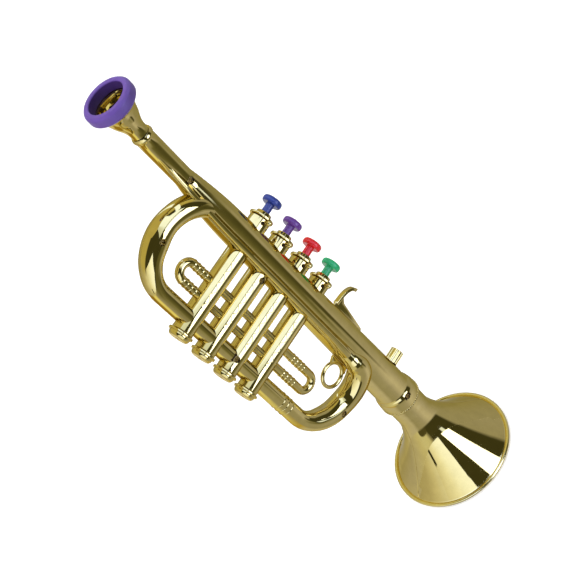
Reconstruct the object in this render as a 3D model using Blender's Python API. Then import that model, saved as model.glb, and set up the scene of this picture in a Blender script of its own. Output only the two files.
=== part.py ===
"""Toy trumpet: two moulded body halves, a bell, a mouthpiece and four sprung buttons.

The trumpet stands on the rim of its bell. +Z runs up the main tube to the mouthpiece,
+X is the side of the buttons, and the body halves meet on the plane Y = 0.
"""

import math

import bmesh
import bpy
from mathutils import Matrix, Vector

mm = 0.001

# General fits and walls
clearance = 0.3 * mm
wall = 1.7 * mm
overrun = 2.0 * mm
weld = 0.0005 * mm

# Lengths along the main tube, stacked up from the rim of the bell
bell_length = 70.0 * mm
collar_length = 13.5 * mm
barrel_length = 53.5 * mm
lower_valve_gap = 45.0 * mm
valve_pitch = 20.84 * mm
valve_count = 4
upper_valve_gap = 25.2 * mm
taper_rise = 33.3 * mm
lead_length = 36.6 * mm
mouthpiece_reach = 28.4 * mm

# Main tube
lead_radius = 5.5 * mm
barrel_radius = 11.5 * mm
collar_radius = 13.3 * mm
collar_screw_share = 0.35
lead_bead_radius = 6.1 * mm
lead_bead_length = 3.6 * mm
main_taper_shares = [
    (0.00, 1.00), (0.18, 0.92), (0.27, 0.86), (0.39, 0.80), (0.54, 0.73), (0.67, 0.68),
    (0.80, 0.60), (0.86, 0.51), (0.91, 0.37), (0.95, 0.22), (0.98, 0.10), (1.00, 0.00),
]
collar_shares = [
    (0.00, 0.65), (0.02, 0.82), (0.09, 0.82), (0.22, 1.00), (0.45, 1.00), (0.74, 0.65), (1.00, 0.00),
]

# Bell
bell_rim_radius = 41.6 * mm
bell_rim_inner_radius = 39.2 * mm
bell_neck_radius = 11.8 * mm
bell_bore_radius = 8.7 * mm
bell_flare_height = 54.0 * mm
bell_flare_power = 1.62
bell_flare_steps = 9
bell_rim_edge = 0.5 * mm
bell_spigot_radius = 10.2 * mm
bell_spigot_length = 5.4 * mm
bell_flange_radius = 11.1 * mm
bell_flange_thickness = 1.8 * mm

# Loop of tube
loop_drop = 53.1 * mm
run_drop = 1.7 * mm
loop_tube_radius = 5.4 * mm
upper_bend_tube_radius = 6.8 * mm
lower_bend_tube_radius = 7.6 * mm
upper_forward = 6.0 * mm
lower_forward = 7.3 * mm
upper_forward_shares = [(-0.12, 0.10), (0.0, 0.28), (0.11, 0.45), (0.25, 0.33), (0.5, 0.15), (0.75, 0.0)]
lower_forward_shares = [(0.0, 0.90), (0.11, 1.00), (0.17, 0.95), (0.28, 0.66), (0.5, 0.05), (0.6, 0.0)]
upper_swell_shares = [
    (-0.12, -1.20), (-0.05, -0.20), (0.00, 0.45), (0.12, 0.85), (0.25, 1.05), (0.42, 1.00), (0.60, 1.30),
    (0.72, 0.90), (0.85, 0.35), (1.00, 0.00),
]
lower_swell_shares = [
    (0.00, -0.36), (0.06, -0.10), (0.11, 0.27), (0.17, 0.62), (0.24, 1.0), (0.55, 1.0), (0.75, 0.75),
    (0.87, 0.30), (1.00, 0.0),
]
upper_bend_shift = 1.4 * mm
upper_shift_shares = [
    (0.00, 0.40), (0.12, 1.00), (0.25, 0.80), (0.40, 0.05), (0.50, -0.30), (0.62, -0.80), (0.75, -0.40),
    (0.90, 0.00),
]
lower_bend_shift = 1.2 * mm
lower_shift_shares = [
    (0.00, -4.2), (0.11, -3.3), (0.17, -1.7), (0.24, -0.2), (0.30, 0.0), (0.42, 0.0), (0.62, -0.9),
    (0.75, -1.0), (0.85, -0.6), (1.00, 0.0),
]

# Upper end of the lower bend, which sinks into the main tube
loop_end_drop = 6.0 * mm
loop_end_forward = 6.5 * mm
loop_end_shares = [(0.05, 0.93, 0.82, 0.78), (0.10, 0.75, 0.62, 0.70), (0.17, 0.50, 0.38, 0.60)]

# Slim rib that leads from the lower bend up the front of the main tube and sinks into the lead tube
front_rib_drop = 6.0 * mm
front_rib_forward = 6.5 * mm
front_rib_radius = 3.0 * mm
front_rib_shares = [
    (-0.06, 1.18, 1.02, 1.00), (0.00, 1.09, 1.00, 1.20), (0.06, 1.02, 1.00, 1.27), (0.12, 0.99, 0.99, 1.20),
    (0.21, 0.98, 0.99, 1.07), (0.30, 0.97, 0.99, 1.00), (0.45, 0.96, 0.95, 0.98), (0.60, 0.95, 0.91, 0.97),
    (0.75, 0.93, 0.85, 0.97), (0.90, 0.90, 0.78, 0.97), (1.11, 0.72, 0.62, 0.87), (1.23, 0.62, 0.53, 0.73),
    (1.36, 0.48, 0.47, 0.40),
]

# Valve casings and the tubes between them
casing_radius = 6.3 * mm
casing_below_loop = 7.9 * mm
casing_above_tube = 4.8 * mm
link_radius = 2.5 * mm
upper_link_drop = 29.6 * mm
lower_link_drop = 40.1 * mm
nub_radius = 1.65 * mm
nub_stem_radius = 0.55 * mm
nub_reach = 3.5 * mm
nub_below_rim = 0.7 * mm

# Side slides
slide_radius = 2.6 * mm
slide_head_step = 0.4 * mm
slide_head_length = 1.2 * mm
slide_rib_rise = 0.35 * mm
slide_rib_half_length = 0.9 * mm
slide_rib_pitch = 4.8 * mm
slide_rib_count = 3
upper_slide_reach = 20.2 * mm
upper_rib_start = 9.7 * mm
lower_slide_reach = 34.5 * mm
lower_rib_start = 15.0 * mm
slide_bend_steps = 8

# Valve caps
cap_flange_overhang = 1.0 * mm
cap_flange_thickness = 1.5 * mm
cap_crown_radius = 4.4 * mm
cap_crown_height = 2.4 * mm
cap_spigot_length = 1.2 * mm
foot_flange_overhang = 1.2 * mm
foot_flange_thickness = 1.3 * mm
foot_body_overhang = 0.1 * mm
foot_body_height = 2.5 * mm
foot_hole_radius = 0.9 * mm
foot_spigot_length = 3.0 * mm

# Buttons
button_radius = 5.75 * mm
button_thickness = 3.7 * mm
button_edge = 1.1 * mm
rounding_share = 0.29
button_stem_radius = 2.4 * mm
button_gap = 5.7 * mm
button_travel = 4.5 * mm
stem_flange_thickness = 1.1 * mm
rod_radius = 1.2 * mm

# Reed chest inside the main tube
deck_top = 2.6 * mm
deck_thickness = 1.5 * mm
deck_end = 9.5 * mm
deck_hole_radius = 1.9 * mm
pad_thickness = 0.8 * mm
block_wall = 1.0 * mm
cell_half_length = 7.4 * mm
reed_slot_half_width = 0.9 * mm
reed_slot_half_length = 5.0 * mm
reed_thickness = 0.35 * mm
reed_half_width = 1.3 * mm
reed_half_length = 6.0 * mm

# Return springs
spring_wire_radius = 0.25 * mm
spring_turns = 4
spring_points_per_turn = 7

# Mouthpiece
ring_radius = 14.3 * mm
ring_length = 8.0 * mm
ring_front_radius = 12.9 * mm
ring_back_radius = 12.4 * mm
ring_edge = 1.6 * mm
ring_hole_radius = 10.5 * mm
ring_seat_depth = 6.0 * mm
ring_skirt_wall = 1.0 * mm
cup_rim_thickness = 2.2 * mm
cup_mouth_radius = 9.6 * mm
cup_inside_radius = 7.7 * mm
cup_throat_radius = 2.2 * mm
cup_neck_radius = 5.05 * mm
cup_spigot_length = 11.0 * mm
cup_outer_shares = [
    (0.03, 0.92), (0.18, 0.70), (0.28, 0.60), (0.41, 0.47), (0.54, 0.29), (0.64, 0.16), (0.74, 0.06), (0.89, 0.00),
]
cup_inner_shares = [(0.00, 1.00), (0.20, 0.88), (0.42, 0.60), (0.62, 0.30), (0.80, 0.05), (0.90, 0.00)]
grille_seat_radius = 8.6 * mm
grille_depth = 2.6 * mm
grille_thickness = 1.0 * mm
grille_hole_radius = 0.9 * mm
grille_hole_pitch = 3.0 * mm

# Webs that are trapped between the halves by a wider head
web_half_thickness = 0.8 * mm
head_depth = 1.2 * mm
head_overhang = 1.5 * mm

# Finger ring
finger_ring_below_tube = 9.4 * mm
finger_ring_below_bend = 5.5 * mm
finger_ring_radius = 7.55 * mm
finger_ring_wire = 1.2 * mm
ring_web_rise = 8.5 * mm
ring_web_fall = 6.5 * mm
ring_web_corner = 3.4 * mm
ring_tab_half_length = 3.5 * mm

# Finger hook
hook_below_valve = 20.4 * mm
hook_half_thickness = 1.0 * mm
hook_half_width = 1.7 * mm
hook_tip_rise = 15.9 * mm
hook_tip_reach = 7.1 * mm
hook_shares = [(0.00, 0.09), (0.05, 0.35), (0.13, 0.60), (0.33, 0.82), (0.62, 0.95), (1.00, 1.00)]
hook_web_length = 28.0 * mm
hook_web_rise = 8.2 * mm
hook_web_crook_rise = 5.0 * mm
hook_web_end_rise = 1.4 * mm
hook_web_crook_reach = 5.2 * mm
hook_tab_start = 3.5 * mm
hook_tab_length = 16.0 * mm

# Lyre socket
socket_above_collar = 12.0 * mm
socket_radius = 4.25 * mm
socket_rise = 8.1 * mm
socket_spigot_radius = 2.3 * mm
socket_head_radius = 3.3 * mm
socket_flutes = 12
socket_flute_radius = 0.45 * mm

# Screws that hold the halves together
screw_head_radius = 2.2 * mm
screw_head_height = 1.3 * mm
screw_shank_radius = 1.15 * mm
screw_recess_depth = 2.5 * mm
screw_bite = 3.0 * mm
screw_drive_half_width = 0.35 * mm
screw_drive_half_length = 1.3 * mm
screw_drive_depth = 0.6 * mm
boss_radius = 3.0 * mm
bend_screw_side_share = 0.96
bend_screw_drop_share = 0.27

# Facets
fine_steps = 32
round_steps = 20
small_steps = 12
hole_steps = 6
tube_steps = 12
bend_steps = 10

# Places worked out from the lengths above
collar_mouth_z = bell_length
collar_top_z = collar_mouth_z + collar_length
lower_bend_z = collar_mouth_z + collar_length + barrel_length
first_valve_z = lower_bend_z + lower_valve_gap
last_valve_z = first_valve_z + valve_pitch * (valve_count - 1)
upper_bend_z = last_valve_z + upper_valve_gap
taper_top_z = upper_bend_z + taper_rise
body_top_z = taper_top_z + lead_length
face_z = body_top_z + mouthpiece_reach
casing_drop = loop_drop + casing_below_loop
foot_depth = casing_drop + clearance + foot_flange_thickness + foot_body_height
axis_x = (foot_depth - bell_rim_radius) / 2
bend_radius = (loop_drop - run_drop) / 2
bend_centre_x = axis_x - run_drop - bend_radius
half_turn = math.pi * bend_radius
casing_bore_radius = casing_radius - wall
stem_flange_radius = casing_bore_radius - 2 * clearance
spring_radius = (rod_radius + casing_bore_radius) / 2
button_names = ["green", "red", "purple", "blue"]


def valve_z(index):
    """Height of a valve's axis, counted up from the one nearest the bell."""
    return first_valve_z + valve_pitch * index


def through(table, place):
    """Value at a place on a smooth curve through the points of a table."""
    places = [row[0] for row in table]
    values = [row[1] for row in table]
    if place <= places[0]:
        return values[0]
    if place >= places[-1]:
        return values[-1]
    step = next(i for i in range(len(places) - 1) if places[i + 1] >= place)
    width = places[step + 1] - places[step]
    share = (place - places[step]) / width

    def slope(index):
        if index == 0 or index == len(places) - 1:
            return 0.0
        return (values[index + 1] - values[index - 1]) / (places[index + 1] - places[index - 1])

    start, end = values[step], values[step + 1]
    rise_in, rise_out = slope(step) * width, slope(step + 1) * width
    return (start * (2 * share ** 3 - 3 * share ** 2 + 1) + rise_in * (share ** 3 - 2 * share ** 2 + share)
            + end * (3 * share ** 2 - 2 * share ** 3) + rise_out * (share ** 3 - share ** 2))


# Mesh tools

def clear_scene():
    for obj in list(bpy.data.objects):
        bpy.data.objects.remove(obj, do_unlink=True)


def new_object(name, mesh):
    obj = bpy.data.objects.new(name, mesh)
    bpy.context.scene.collection.objects.link(obj)
    return obj


def object_from(bm, name):
    bmesh.ops.remove_doubles(bm, verts=bm.verts[:], dist=weld)
    bmesh.ops.recalc_face_normals(bm, faces=bm.faces[:])
    mesh = bpy.data.meshes.new(name)
    bm.to_mesh(mesh)
    bm.free()
    return new_object(name, mesh)


def upright(place):
    """Frame whose Z is the main tube's direction, at a place."""
    return Matrix.Translation(Vector(place))


def toward_buttons(place):
    """Frame whose Z points to the buttons, at a place."""
    return Matrix.Translation(Vector(place)) @ Matrix.Rotation(math.pi / 2, 4, "Y")


def toward_back(place):
    """Frame whose Z points through the halves, from the front to the back."""
    return Matrix.Translation(Vector(place)) @ Matrix.Rotation(-math.pi / 2, 4, "X")


def turned(name, profile, frame, steps, closed=False):
    """Profile of (radius, height) points turned about the frame's Z axis."""
    bm = bmesh.new()
    points = [bm.verts.new((radius, 0.0, height)) for radius, height in profile]
    edges = [bm.edges.new(pair) for pair in zip(points, points[1:])]
    if closed:
        edges.append(bm.edges.new((points[-1], points[0])))
    bmesh.ops.spin(bm, geom=points + edges, axis=(0, 0, 1), cent=(0, 0, 0), angle=2 * math.pi,
                   steps=steps, use_merge=True)
    bm.transform(frame)
    return object_from(bm, name)


def rod(name, radius, low, high, frame, steps):
    """Plain round bar along the frame's Z axis."""
    return turned(name, [(0, low), (radius, low), (radius, high), (0, high)], frame, steps)


def box(name, low, high):
    bm = bmesh.new()
    bmesh.ops.create_cube(bm, size=1.0)
    size = Vector(high) - Vector(low)
    middle = (Vector(high) + Vector(low)) / 2
    bm.transform(Matrix.Translation(middle) @ Matrix.Diagonal((*size, 1.0)))
    return object_from(bm, name)


def plate(name, outline, low_y, high_y):
    """Flat outline of (x, z) points, extruded from low_y to high_y."""
    bm = bmesh.new()
    face = bm.faces.new([bm.verts.new((x, low_y, z)) for x, z in outline])
    grown = bmesh.ops.extrude_face_region(bm, geom=[face])
    moved = [part for part in grown["geom"] if isinstance(part, bmesh.types.BMVert)]
    bmesh.ops.translate(bm, verts=moved, vec=(0, high_y - low_y, 0))
    return object_from(bm, name)


def tube(name, points, radii, sides, closed=False):
    """Round tube along a path, with its own radius at each point."""
    curve = bpy.data.curves.new(name, "CURVE")
    curve.dimensions = "3D"
    curve.fill_mode = "FULL"
    curve.twist_mode = "MINIMUM"
    curve.bevel_depth = 1.0
    curve.bevel_resolution = (sides - 4) // 2
    curve.use_fill_caps = not closed
    spline = curve.splines.new("POLY")
    spline.points.add(len(points) - 1)
    for point, place, radius in zip(spline.points, points, radii):
        point.co = (*place, 1.0)
        point.radius = radius
    spline.use_cyclic_u = closed
    drawn = new_object(name + "_path", curve)
    mesh = bpy.data.meshes.new_from_object(drawn.evaluated_get(bpy.context.evaluated_depsgraph_get()))
    bm = bmesh.new()
    bm.from_mesh(mesh)
    bpy.data.objects.remove(drawn, do_unlink=True)
    return object_from(bm, name)


def joined(obj, others, operation="UNION"):
    """Boolean of one object with others, which are used up."""
    for other in others:
        modifier = obj.modifiers.new("cut", "BOOLEAN")
        modifier.operation = operation
        modifier.solver = "EXACT"
        modifier.object = other
        view = obj.evaluated_get(bpy.context.evaluated_depsgraph_get())
        mesh = bpy.data.meshes.new_from_object(view)
        obj.modifiers.clear()
        bm = bmesh.new()
        bm.from_mesh(mesh)
        bmesh.ops.remove_doubles(bm, verts=bm.verts[:], dist=weld)
        bmesh.ops.dissolve_degenerate(bm, edges=bm.edges[:], dist=weld)
        bm.to_mesh(mesh)
        bm.free()
        obj.data = mesh
        bpy.data.objects.remove(other, do_unlink=True)
    return obj


def cut(obj, cutters):
    return joined(obj, cutters, "DIFFERENCE")


def copy_of(obj, name):
    return new_object(name, obj.data.copy())


def finish(obj, material, origin=None):
    """Smooth shading, a material, and the object's origin on its own axis."""
    obj.data.materials.clear()
    obj.data.materials.append(material)
    if origin is not None:
        obj.data.transform(Matrix.Translation(-Vector(origin)))
        obj.location = origin
    obj.data.shade_smooth()
    obj.data.set_sharp_from_angle(angle=math.radians(35))
    return obj


def material(name, colour, roughness, metallic):
    made = bpy.data.materials.new(name)
    made.use_nodes = True
    shader = made.node_tree.nodes["Principled BSDF"]
    shader.inputs["Base Color"].default_value = (*colour, 1.0)
    shader.inputs["Roughness"].default_value = roughness
    shader.inputs["Metallic"].default_value = metallic
    return made


# Main tube and loop

def main_outline():
    """Outside radius of the main tube by height, from the collar's mouth to the top bead."""
    outline = []
    for height, share in collar_shares:
        radius = barrel_radius + (collar_radius - barrel_radius) * share
        outline.append((radius, collar_mouth_z + collar_length * height))
    for height, share in main_taper_shares[1:]:
        radius = lead_radius + (barrel_radius - lead_radius) * share
        outline.append((radius, collar_top_z + (taper_top_z - collar_top_z) * height))
    bead_z = body_top_z - lead_bead_length
    outline.append((lead_radius, bead_z))
    for turn in (0.2, 0.5, 0.8):
        swell = (lead_bead_radius - lead_radius) * math.sin(math.pi * turn)
        outline.append((lead_radius + swell, bead_z + lead_bead_length * turn))
    outline.append((lead_radius, body_top_z))
    return outline


def main_radius(z):
    """Outside radius of the main tube at a height between the collar and the lead tube."""
    rows = [(place, radius) for radius, place in main_outline()]
    below = max(row for row in rows if row[0] <= z)
    above = min(row for row in rows if row[0] > z)
    return below[1] + (above[1] - below[1]) * (z - below[0]) / (above[0] - below[0])


def casing_rise():
    """Height of the upper casings' rims over the main tube's axis."""
    return main_radius(last_valve_z) + casing_above_tube


def main_outer():
    outline = main_outline()
    return turned("main_outer", [(0, collar_mouth_z)] + outline + [(0, body_top_z)], upright((axis_x, 0, 0)),
                  round_steps)


def main_bore():
    """Air way of the main tube, with the groove that traps the bell's flange."""
    mouth = bell_spigot_radius + clearance
    groove = bell_flange_radius + clearance
    groove_top = collar_mouth_z + bell_spigot_length + clearance
    groove_low = groove_top - bell_flange_thickness - 2 * clearance
    profile = [(0, collar_mouth_z - overrun), (mouth, collar_mouth_z - overrun), (mouth, groove_low),
               (groove, groove_low), (groove, groove_top), (barrel_radius - wall, groove_top)]
    for height, share in main_taper_shares:
        radius = lead_radius - wall + (barrel_radius - lead_radius) * share
        profile.append((radius, collar_top_z + (taper_top_z - collar_top_z) * height))
    profile += [(lead_radius - wall, body_top_z + overrun), (0, body_top_z + overrun)]
    return turned("main_bore", profile, upright((axis_x, 0, 0)), round_steps)


def loop_path():
    """Centre line and radius of the loop: upper bend, lower run and lower bend, with both ends buried."""
    points, radii = [], []
    length = upper_bend_z - lower_bend_z

    def bend(turn, centre_z, side, reach, shift, swell):
        """A place on a bend, by its share of the half turn from the main tube."""
        angle = math.pi * max(turn, 0)
        radius = bend_radius + shift
        points.append((bend_centre_x + radius * math.cos(angle), -reach,
                       centre_z + side * (radius * math.sin(angle) + half_turn * min(turn, 0))))
        radii.append(loop_tube_radius + swell)

    for turn in [-0.12, -0.05] + [step / bend_steps for step in range(bend_steps + 1)]:
        bend(turn, upper_bend_z, 1, upper_forward * through(upper_forward_shares, turn),
             upper_bend_shift * through(upper_shift_shares, turn),
             (upper_bend_tube_radius - loop_tube_radius) * through(upper_swell_shares, turn))
    for share in (0.75, 0.5, 0.25):
        points.append((axis_x - loop_drop, 0, lower_bend_z + length * share))
        radii.append(loop_tube_radius)
    for turn in [step / bend_steps for step in range(bend_steps, -1, -1)]:
        bend(turn, lower_bend_z, -1, lower_forward * through(lower_forward_shares, turn),
             lower_bend_shift * through(lower_shift_shares, turn),
             (lower_bend_tube_radius - loop_tube_radius) * through(lower_swell_shares, turn))
    for share, drop, reach, size in loop_end_shares:
        points.append((axis_x - loop_end_drop * drop, -loop_end_forward * reach, lower_bend_z + length * share))
        radii.append(loop_tube_radius * size)
    return points, radii


def front_rib():
    """Slim tapering rib on the front of the main tube."""
    points, radii = [], []
    for share, drop, reach, size in front_rib_shares:
        points.append((axis_x - front_rib_drop * drop, -front_rib_forward * reach,
                       lower_bend_z + (upper_bend_z - lower_bend_z) * share))
        radii.append(front_rib_radius * size)
    return tube("front_rib", points, radii, tube_steps)


def body_outer():
    """Everything that the two halves enclose, as one solid."""
    body = main_outer()
    points, radii = loop_path()
    parts = [tube("loop_outer", points, radii, tube_steps), front_rib()]
    for index in range(valve_count):
        z = valve_z(index)
        parts.append(rod("casing", casing_radius, -casing_drop, casing_rise(), toward_buttons((axis_x, 0, z)),
                         round_steps))
    for drop in (upper_link_drop, lower_link_drop):
        parts.append(rod("link", link_radius, first_valve_z, last_valve_z, upright((axis_x - drop, 0, 0)),
                         tube_steps))
    return joined(body, parts)


def screw_places():
    """Each screw's (x, z) and the outside radius of the tube it crosses."""
    side = bend_radius * bend_screw_side_share
    drop = bend_radius * bend_screw_drop_share
    return {
        "lead": (axis_x, taper_top_z - wall, lead_radius),
        "upper_bend": (bend_centre_x - drop, upper_bend_z + side, upper_bend_tube_radius),
        "valve": (axis_x - barrel_radius, valve_z(2), casing_radius),
        "lower_run": (axis_x - loop_drop, valve_z(1) + boss_radius, casing_radius),
        "lower_bend": (bend_centre_x - drop, lower_bend_z - side, lower_bend_tube_radius),
        "collar": (axis_x, collar_top_z - collar_length * collar_screw_share, collar_radius),
    }


def body_cavity():
    """Hollow of the body, with the screw bosses standing in it."""
    cavity = main_bore()
    points, radii = loop_path()
    parts = [tube("loop_bore", points, [radius - wall for radius in radii], tube_steps - 4)]
    for index in range(valve_count):
        z = valve_z(index)
        parts.append(rod("casing_bore", casing_bore_radius, -casing_drop - overrun, casing_rise() + overrun,
                         toward_buttons((axis_x, 0, z)), small_steps))
    cavity = joined(cavity, parts)
    bosses = []
    for x, z, surface in screw_places().values():
        bosses.append(rod("boss", boss_radius, -surface, surface, toward_back((x, 0, z)), small_steps))
    return cut(cavity, bosses)


def insert_cutters():
    """Holes in the halves for the side slides, the web tabs and the lyre socket."""
    cutters = []
    reach = casing_radius + overrun
    for drop in (upper_link_drop, lower_link_drop):
        x = axis_x - drop
        hole = slide_radius + clearance
        cutters.append(rod("hole", hole, last_valve_z, last_valve_z + reach, upright((x, 0, 0)), tube_steps))
        cutters.append(rod("hole", hole, first_valve_z - reach, first_valve_z, upright((x, 0, 0)), tube_steps))
    cutters.append(tab_slot(-1, ring_tab_middle(), ring_tab_half_length))
    cutters.append(tab_slot(1, hook_tab_middle(), hook_tab_length / 2))
    socket_z = collar_top_z + socket_above_collar
    cutters.append(rod("hole", socket_spigot_radius + clearance, 0, barrel_radius + overrun,
                       toward_buttons((axis_x, 0, socket_z)), small_steps))
    return cutters


def half_space(name, front):
    """Block that removes everything beyond one side of the parting plane."""
    wide = bell_rim_radius + loop_drop + casing_drop
    low_y, high_y = (-clearance / 2, wide) if front else (-wide, clearance / 2)
    return box(name, (-wide, low_y, -overrun), (wide, high_y, face_z + overrun))


def nub(index):
    """Small ball on a pin, on the front of an upper casing."""
    ball_y = -casing_radius - nub_reach
    frame = toward_back((axis_x + casing_rise() - nub_below_rim, 0, valve_z(index)))
    profile = [(0, ball_y - nub_radius)]
    for turn in (0.2, 0.4, 0.6, 0.78):
        angle = math.pi * turn
        profile.append((nub_radius * math.sin(angle), ball_y - nub_radius * math.cos(angle)))
    profile += [(nub_stem_radius, -casing_radius + wall / 2), (0, -casing_radius + wall / 2)]
    return turned("nub", profile, frame, small_steps)


def body_shells(gold):
    """The two moulded halves, which meet on the parting plane."""
    shell = cut(body_outer(), [body_cavity()])
    shell = cut(shell, insert_cutters())
    back = copy_of(shell, "back_body_shell")
    front = cut(shell, [half_space("beyond", front=True)])
    front.name = "front_body_shell"
    back = cut(back, [half_space("beyond", front=False)])
    hole = screw_shank_radius + clearance
    for x, z, surface in screw_places().values():
        frame = toward_back((x, 0, z))
        seat = surface - screw_recess_depth
        front = cut(front, [
            rod("recess", screw_head_radius + clearance, -surface - overrun, -seat, frame, small_steps),
            rod("shank_hole", hole, -surface, overrun, frame, small_steps)])
        back = cut(back, [rod("pilot_hole", hole, -overrun, screw_bite + clearance, frame, small_steps)])
    front = joined(front, [nub(index) for index in range(valve_count)])
    return finish(front, gold), finish(back, gold)


# Bell

def bell_radius(height, rim, neck):
    share = max(0.0, 1.0 - height / bell_flare_height)
    return neck + (rim - neck) * share ** bell_flare_power


def bell(gold):
    shoulder = bell_length - clearance
    end = collar_mouth_z + bell_spigot_length
    flange_low = end - bell_flange_thickness
    profile = [(bell_rim_radius, bell_rim_edge)]
    for step in range(1, bell_flare_steps + 1):
        height = bell_flare_height * step / bell_flare_steps
        profile.append((bell_radius(height, bell_rim_radius, bell_neck_radius), height))
    profile += [(bell_neck_radius, shoulder), (bell_spigot_radius, shoulder),
                (bell_spigot_radius, flange_low), (bell_flange_radius, flange_low),
                (bell_flange_radius, end), (bell_bore_radius, end)]
    for step in range(bell_flare_steps, -1, -1):
        height = bell_flare_height * step / bell_flare_steps
        profile.append((bell_radius(height, bell_rim_inner_radius, bell_bore_radius), height))
    profile.append((bell_rim_radius - bell_rim_edge, 0))
    return finish(turned("bell", profile, upright((axis_x, 0, 0)), fine_steps, closed=True), gold)


# Mouthpiece

def mouthpiece_ring(purple):
    seat = face_z - ring_seat_depth
    skirt = ring_back_radius - ring_skirt_wall
    back = face_z - ring_length
    profile = [(ring_hole_radius, face_z - ring_edge / 2), (ring_hole_radius + ring_edge / 2, face_z),
               (ring_front_radius, face_z), (ring_radius, face_z - ring_edge),
               (ring_radius, back + ring_edge), (ring_back_radius, back), (skirt, back), (skirt, seat),
               (ring_hole_radius, seat)]
    return finish(turned("mouthpiece_ring", profile, upright((axis_x, 0, 0)), fine_steps, closed=True), purple)


def cup_places():
    """Top and bottom of the visible horn, and the radius of its rim."""
    top = face_z - ring_seat_depth - clearance
    bottom = body_top_z + clearance
    rim = ring_back_radius - ring_skirt_wall - clearance
    return top, bottom, rim


def mouthpiece_cup(gold):
    top, bottom, rim = cup_places()
    spigot = lead_radius - wall - clearance
    horn_top = top - cup_rim_thickness
    end = bottom - cup_spigot_length
    profile = [(cup_mouth_radius, top), (rim, top), (rim, horn_top)]
    for share, out in cup_outer_shares:
        radius = cup_neck_radius + (rim - cup_neck_radius) * out
        profile.append((radius, horn_top + (bottom - horn_top) * share))
    profile += [(cup_neck_radius, bottom), (spigot, bottom), (spigot, end), (cup_throat_radius, end)]
    ledge = top - grille_depth - grille_thickness - clearance
    for share, out in reversed(cup_inner_shares):
        radius = cup_throat_radius + (cup_inside_radius - cup_throat_radius) * out
        profile.append((radius, ledge + (bottom - ledge) * share))
    profile += [(grille_seat_radius, ledge), (grille_seat_radius, ledge + grille_thickness)]
    return finish(turned("mouthpiece_cup", profile, upright((axis_x, 0, 0)), fine_steps, closed=True), gold)


def mouthpiece_grille(gold):
    """Perforated disc that rests on the ledge inside the cup."""
    top = cup_places()[0] - grille_depth
    radius = grille_seat_radius - clearance
    disc = rod("mouthpiece_grille", radius, top - grille_thickness, top, upright((axis_x, 0, 0)), round_steps)
    holes = []
    for row in range(-2, 3):
        for column in range(-3, 4):
            x = grille_hole_pitch * (column + row / 2)
            y = grille_hole_pitch * row * math.sin(math.radians(60))
            if math.hypot(x, y) < radius - grille_hole_pitch / 2:
                frame = upright((axis_x + x, y, top))
                holes.append(rod("hole", grille_hole_radius, -grille_thickness - overrun, overrun, frame,
                                 hole_steps))
    return finish(cut(disc, holes), gold)


# Valves

def valve_button(index, colour):
    """Button, stem and rod in one moulding, with its origin on the valve's axis."""
    z = valve_z(index)
    crown = casing_rise() + clearance + cap_flange_thickness + cap_crown_height
    low = crown + button_gap
    high = low + button_thickness
    flange_top = casing_rise() + clearance - cap_spigot_length - clearance
    flange_low = flange_top - stem_flange_thickness
    rod_end = deck_top - deck_thickness - clearance - pad_thickness / 2
    inset = button_radius - button_edge
    nick = button_edge * rounding_share
    profile = [(0, rod_end), (rod_radius, rod_end), (rod_radius, flange_low), (stem_flange_radius, flange_low),
               (stem_flange_radius, flange_top), (button_stem_radius, flange_top), (button_stem_radius, low),
               (inset, low), (button_radius - nick, low + nick), (button_radius, low + button_edge),
               (button_radius, high - button_edge), (button_radius - nick, high - nick), (inset, high),
               (0, high)]
    made = turned("valve_button_" + button_names[index], profile, toward_buttons((axis_x, 0, z)), small_steps)
    return finish(made, colour, (axis_x, 0, z))


def valve_top_cap(index, gold):
    low = casing_rise() + clearance
    flange = low + cap_flange_thickness
    crown = flange + cap_crown_height
    hole = button_stem_radius + clearance
    spigot = casing_bore_radius - clearance
    edge = cap_flange_thickness / 3
    wide = casing_radius + cap_flange_overhang
    profile = [(hole, low - cap_spigot_length), (spigot, low - cap_spigot_length), (spigot, low),
               (wide - edge, low), (wide, low + edge), (wide, flange - edge), (wide - edge, flange),
               (cap_crown_radius, flange), (cap_crown_radius, crown - edge), (cap_crown_radius - edge, crown),
               (hole, crown)]
    frame = toward_buttons((axis_x, 0, valve_z(index)))
    name = "valve_top_cap_" + button_names[index]
    return finish(turned(name, profile, frame, small_steps, closed=True), gold)


def valve_foot_cap(index, gold):
    high = -casing_drop - clearance
    flange = high - foot_flange_thickness
    low = flange - foot_body_height
    spigot = casing_bore_radius - clearance
    edge = foot_flange_thickness / 3
    body = casing_radius + foot_body_overhang
    wide = casing_radius + foot_flange_overhang
    profile = [(foot_hole_radius, low), (body - 2 * edge, low), (body, low + 2 * edge), (body, flange),
               (wide - edge, flange), (wide, flange + edge), (wide, high - edge), (wide - edge, high),
               (spigot, high), (spigot, high + foot_spigot_length),
               (spigot - foot_hole_radius, high + foot_spigot_length), (spigot - foot_hole_radius, flange),
               (foot_hole_radius, flange)]
    frame = toward_buttons((axis_x, 0, valve_z(index)))
    name = "valve_foot_cap_" + button_names[index]
    return finish(turned(name, profile, frame, small_steps, closed=True), gold)


def valve_pad(index, rubber):
    """Soft disc on the end of a valve rod, which closes the deck's hole from below."""
    top = deck_top - deck_thickness - clearance
    hole = rod_radius + clearance
    end = top - pad_thickness
    profile = [(hole, end), (pad_radius(), end), (pad_radius(), top), (hole, top)]
    frame = toward_buttons((axis_x, 0, valve_z(index)))
    name = "valve_pad_" + button_names[index]
    return finish(turned(name, profile, frame, small_steps, closed=True), rubber)


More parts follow.
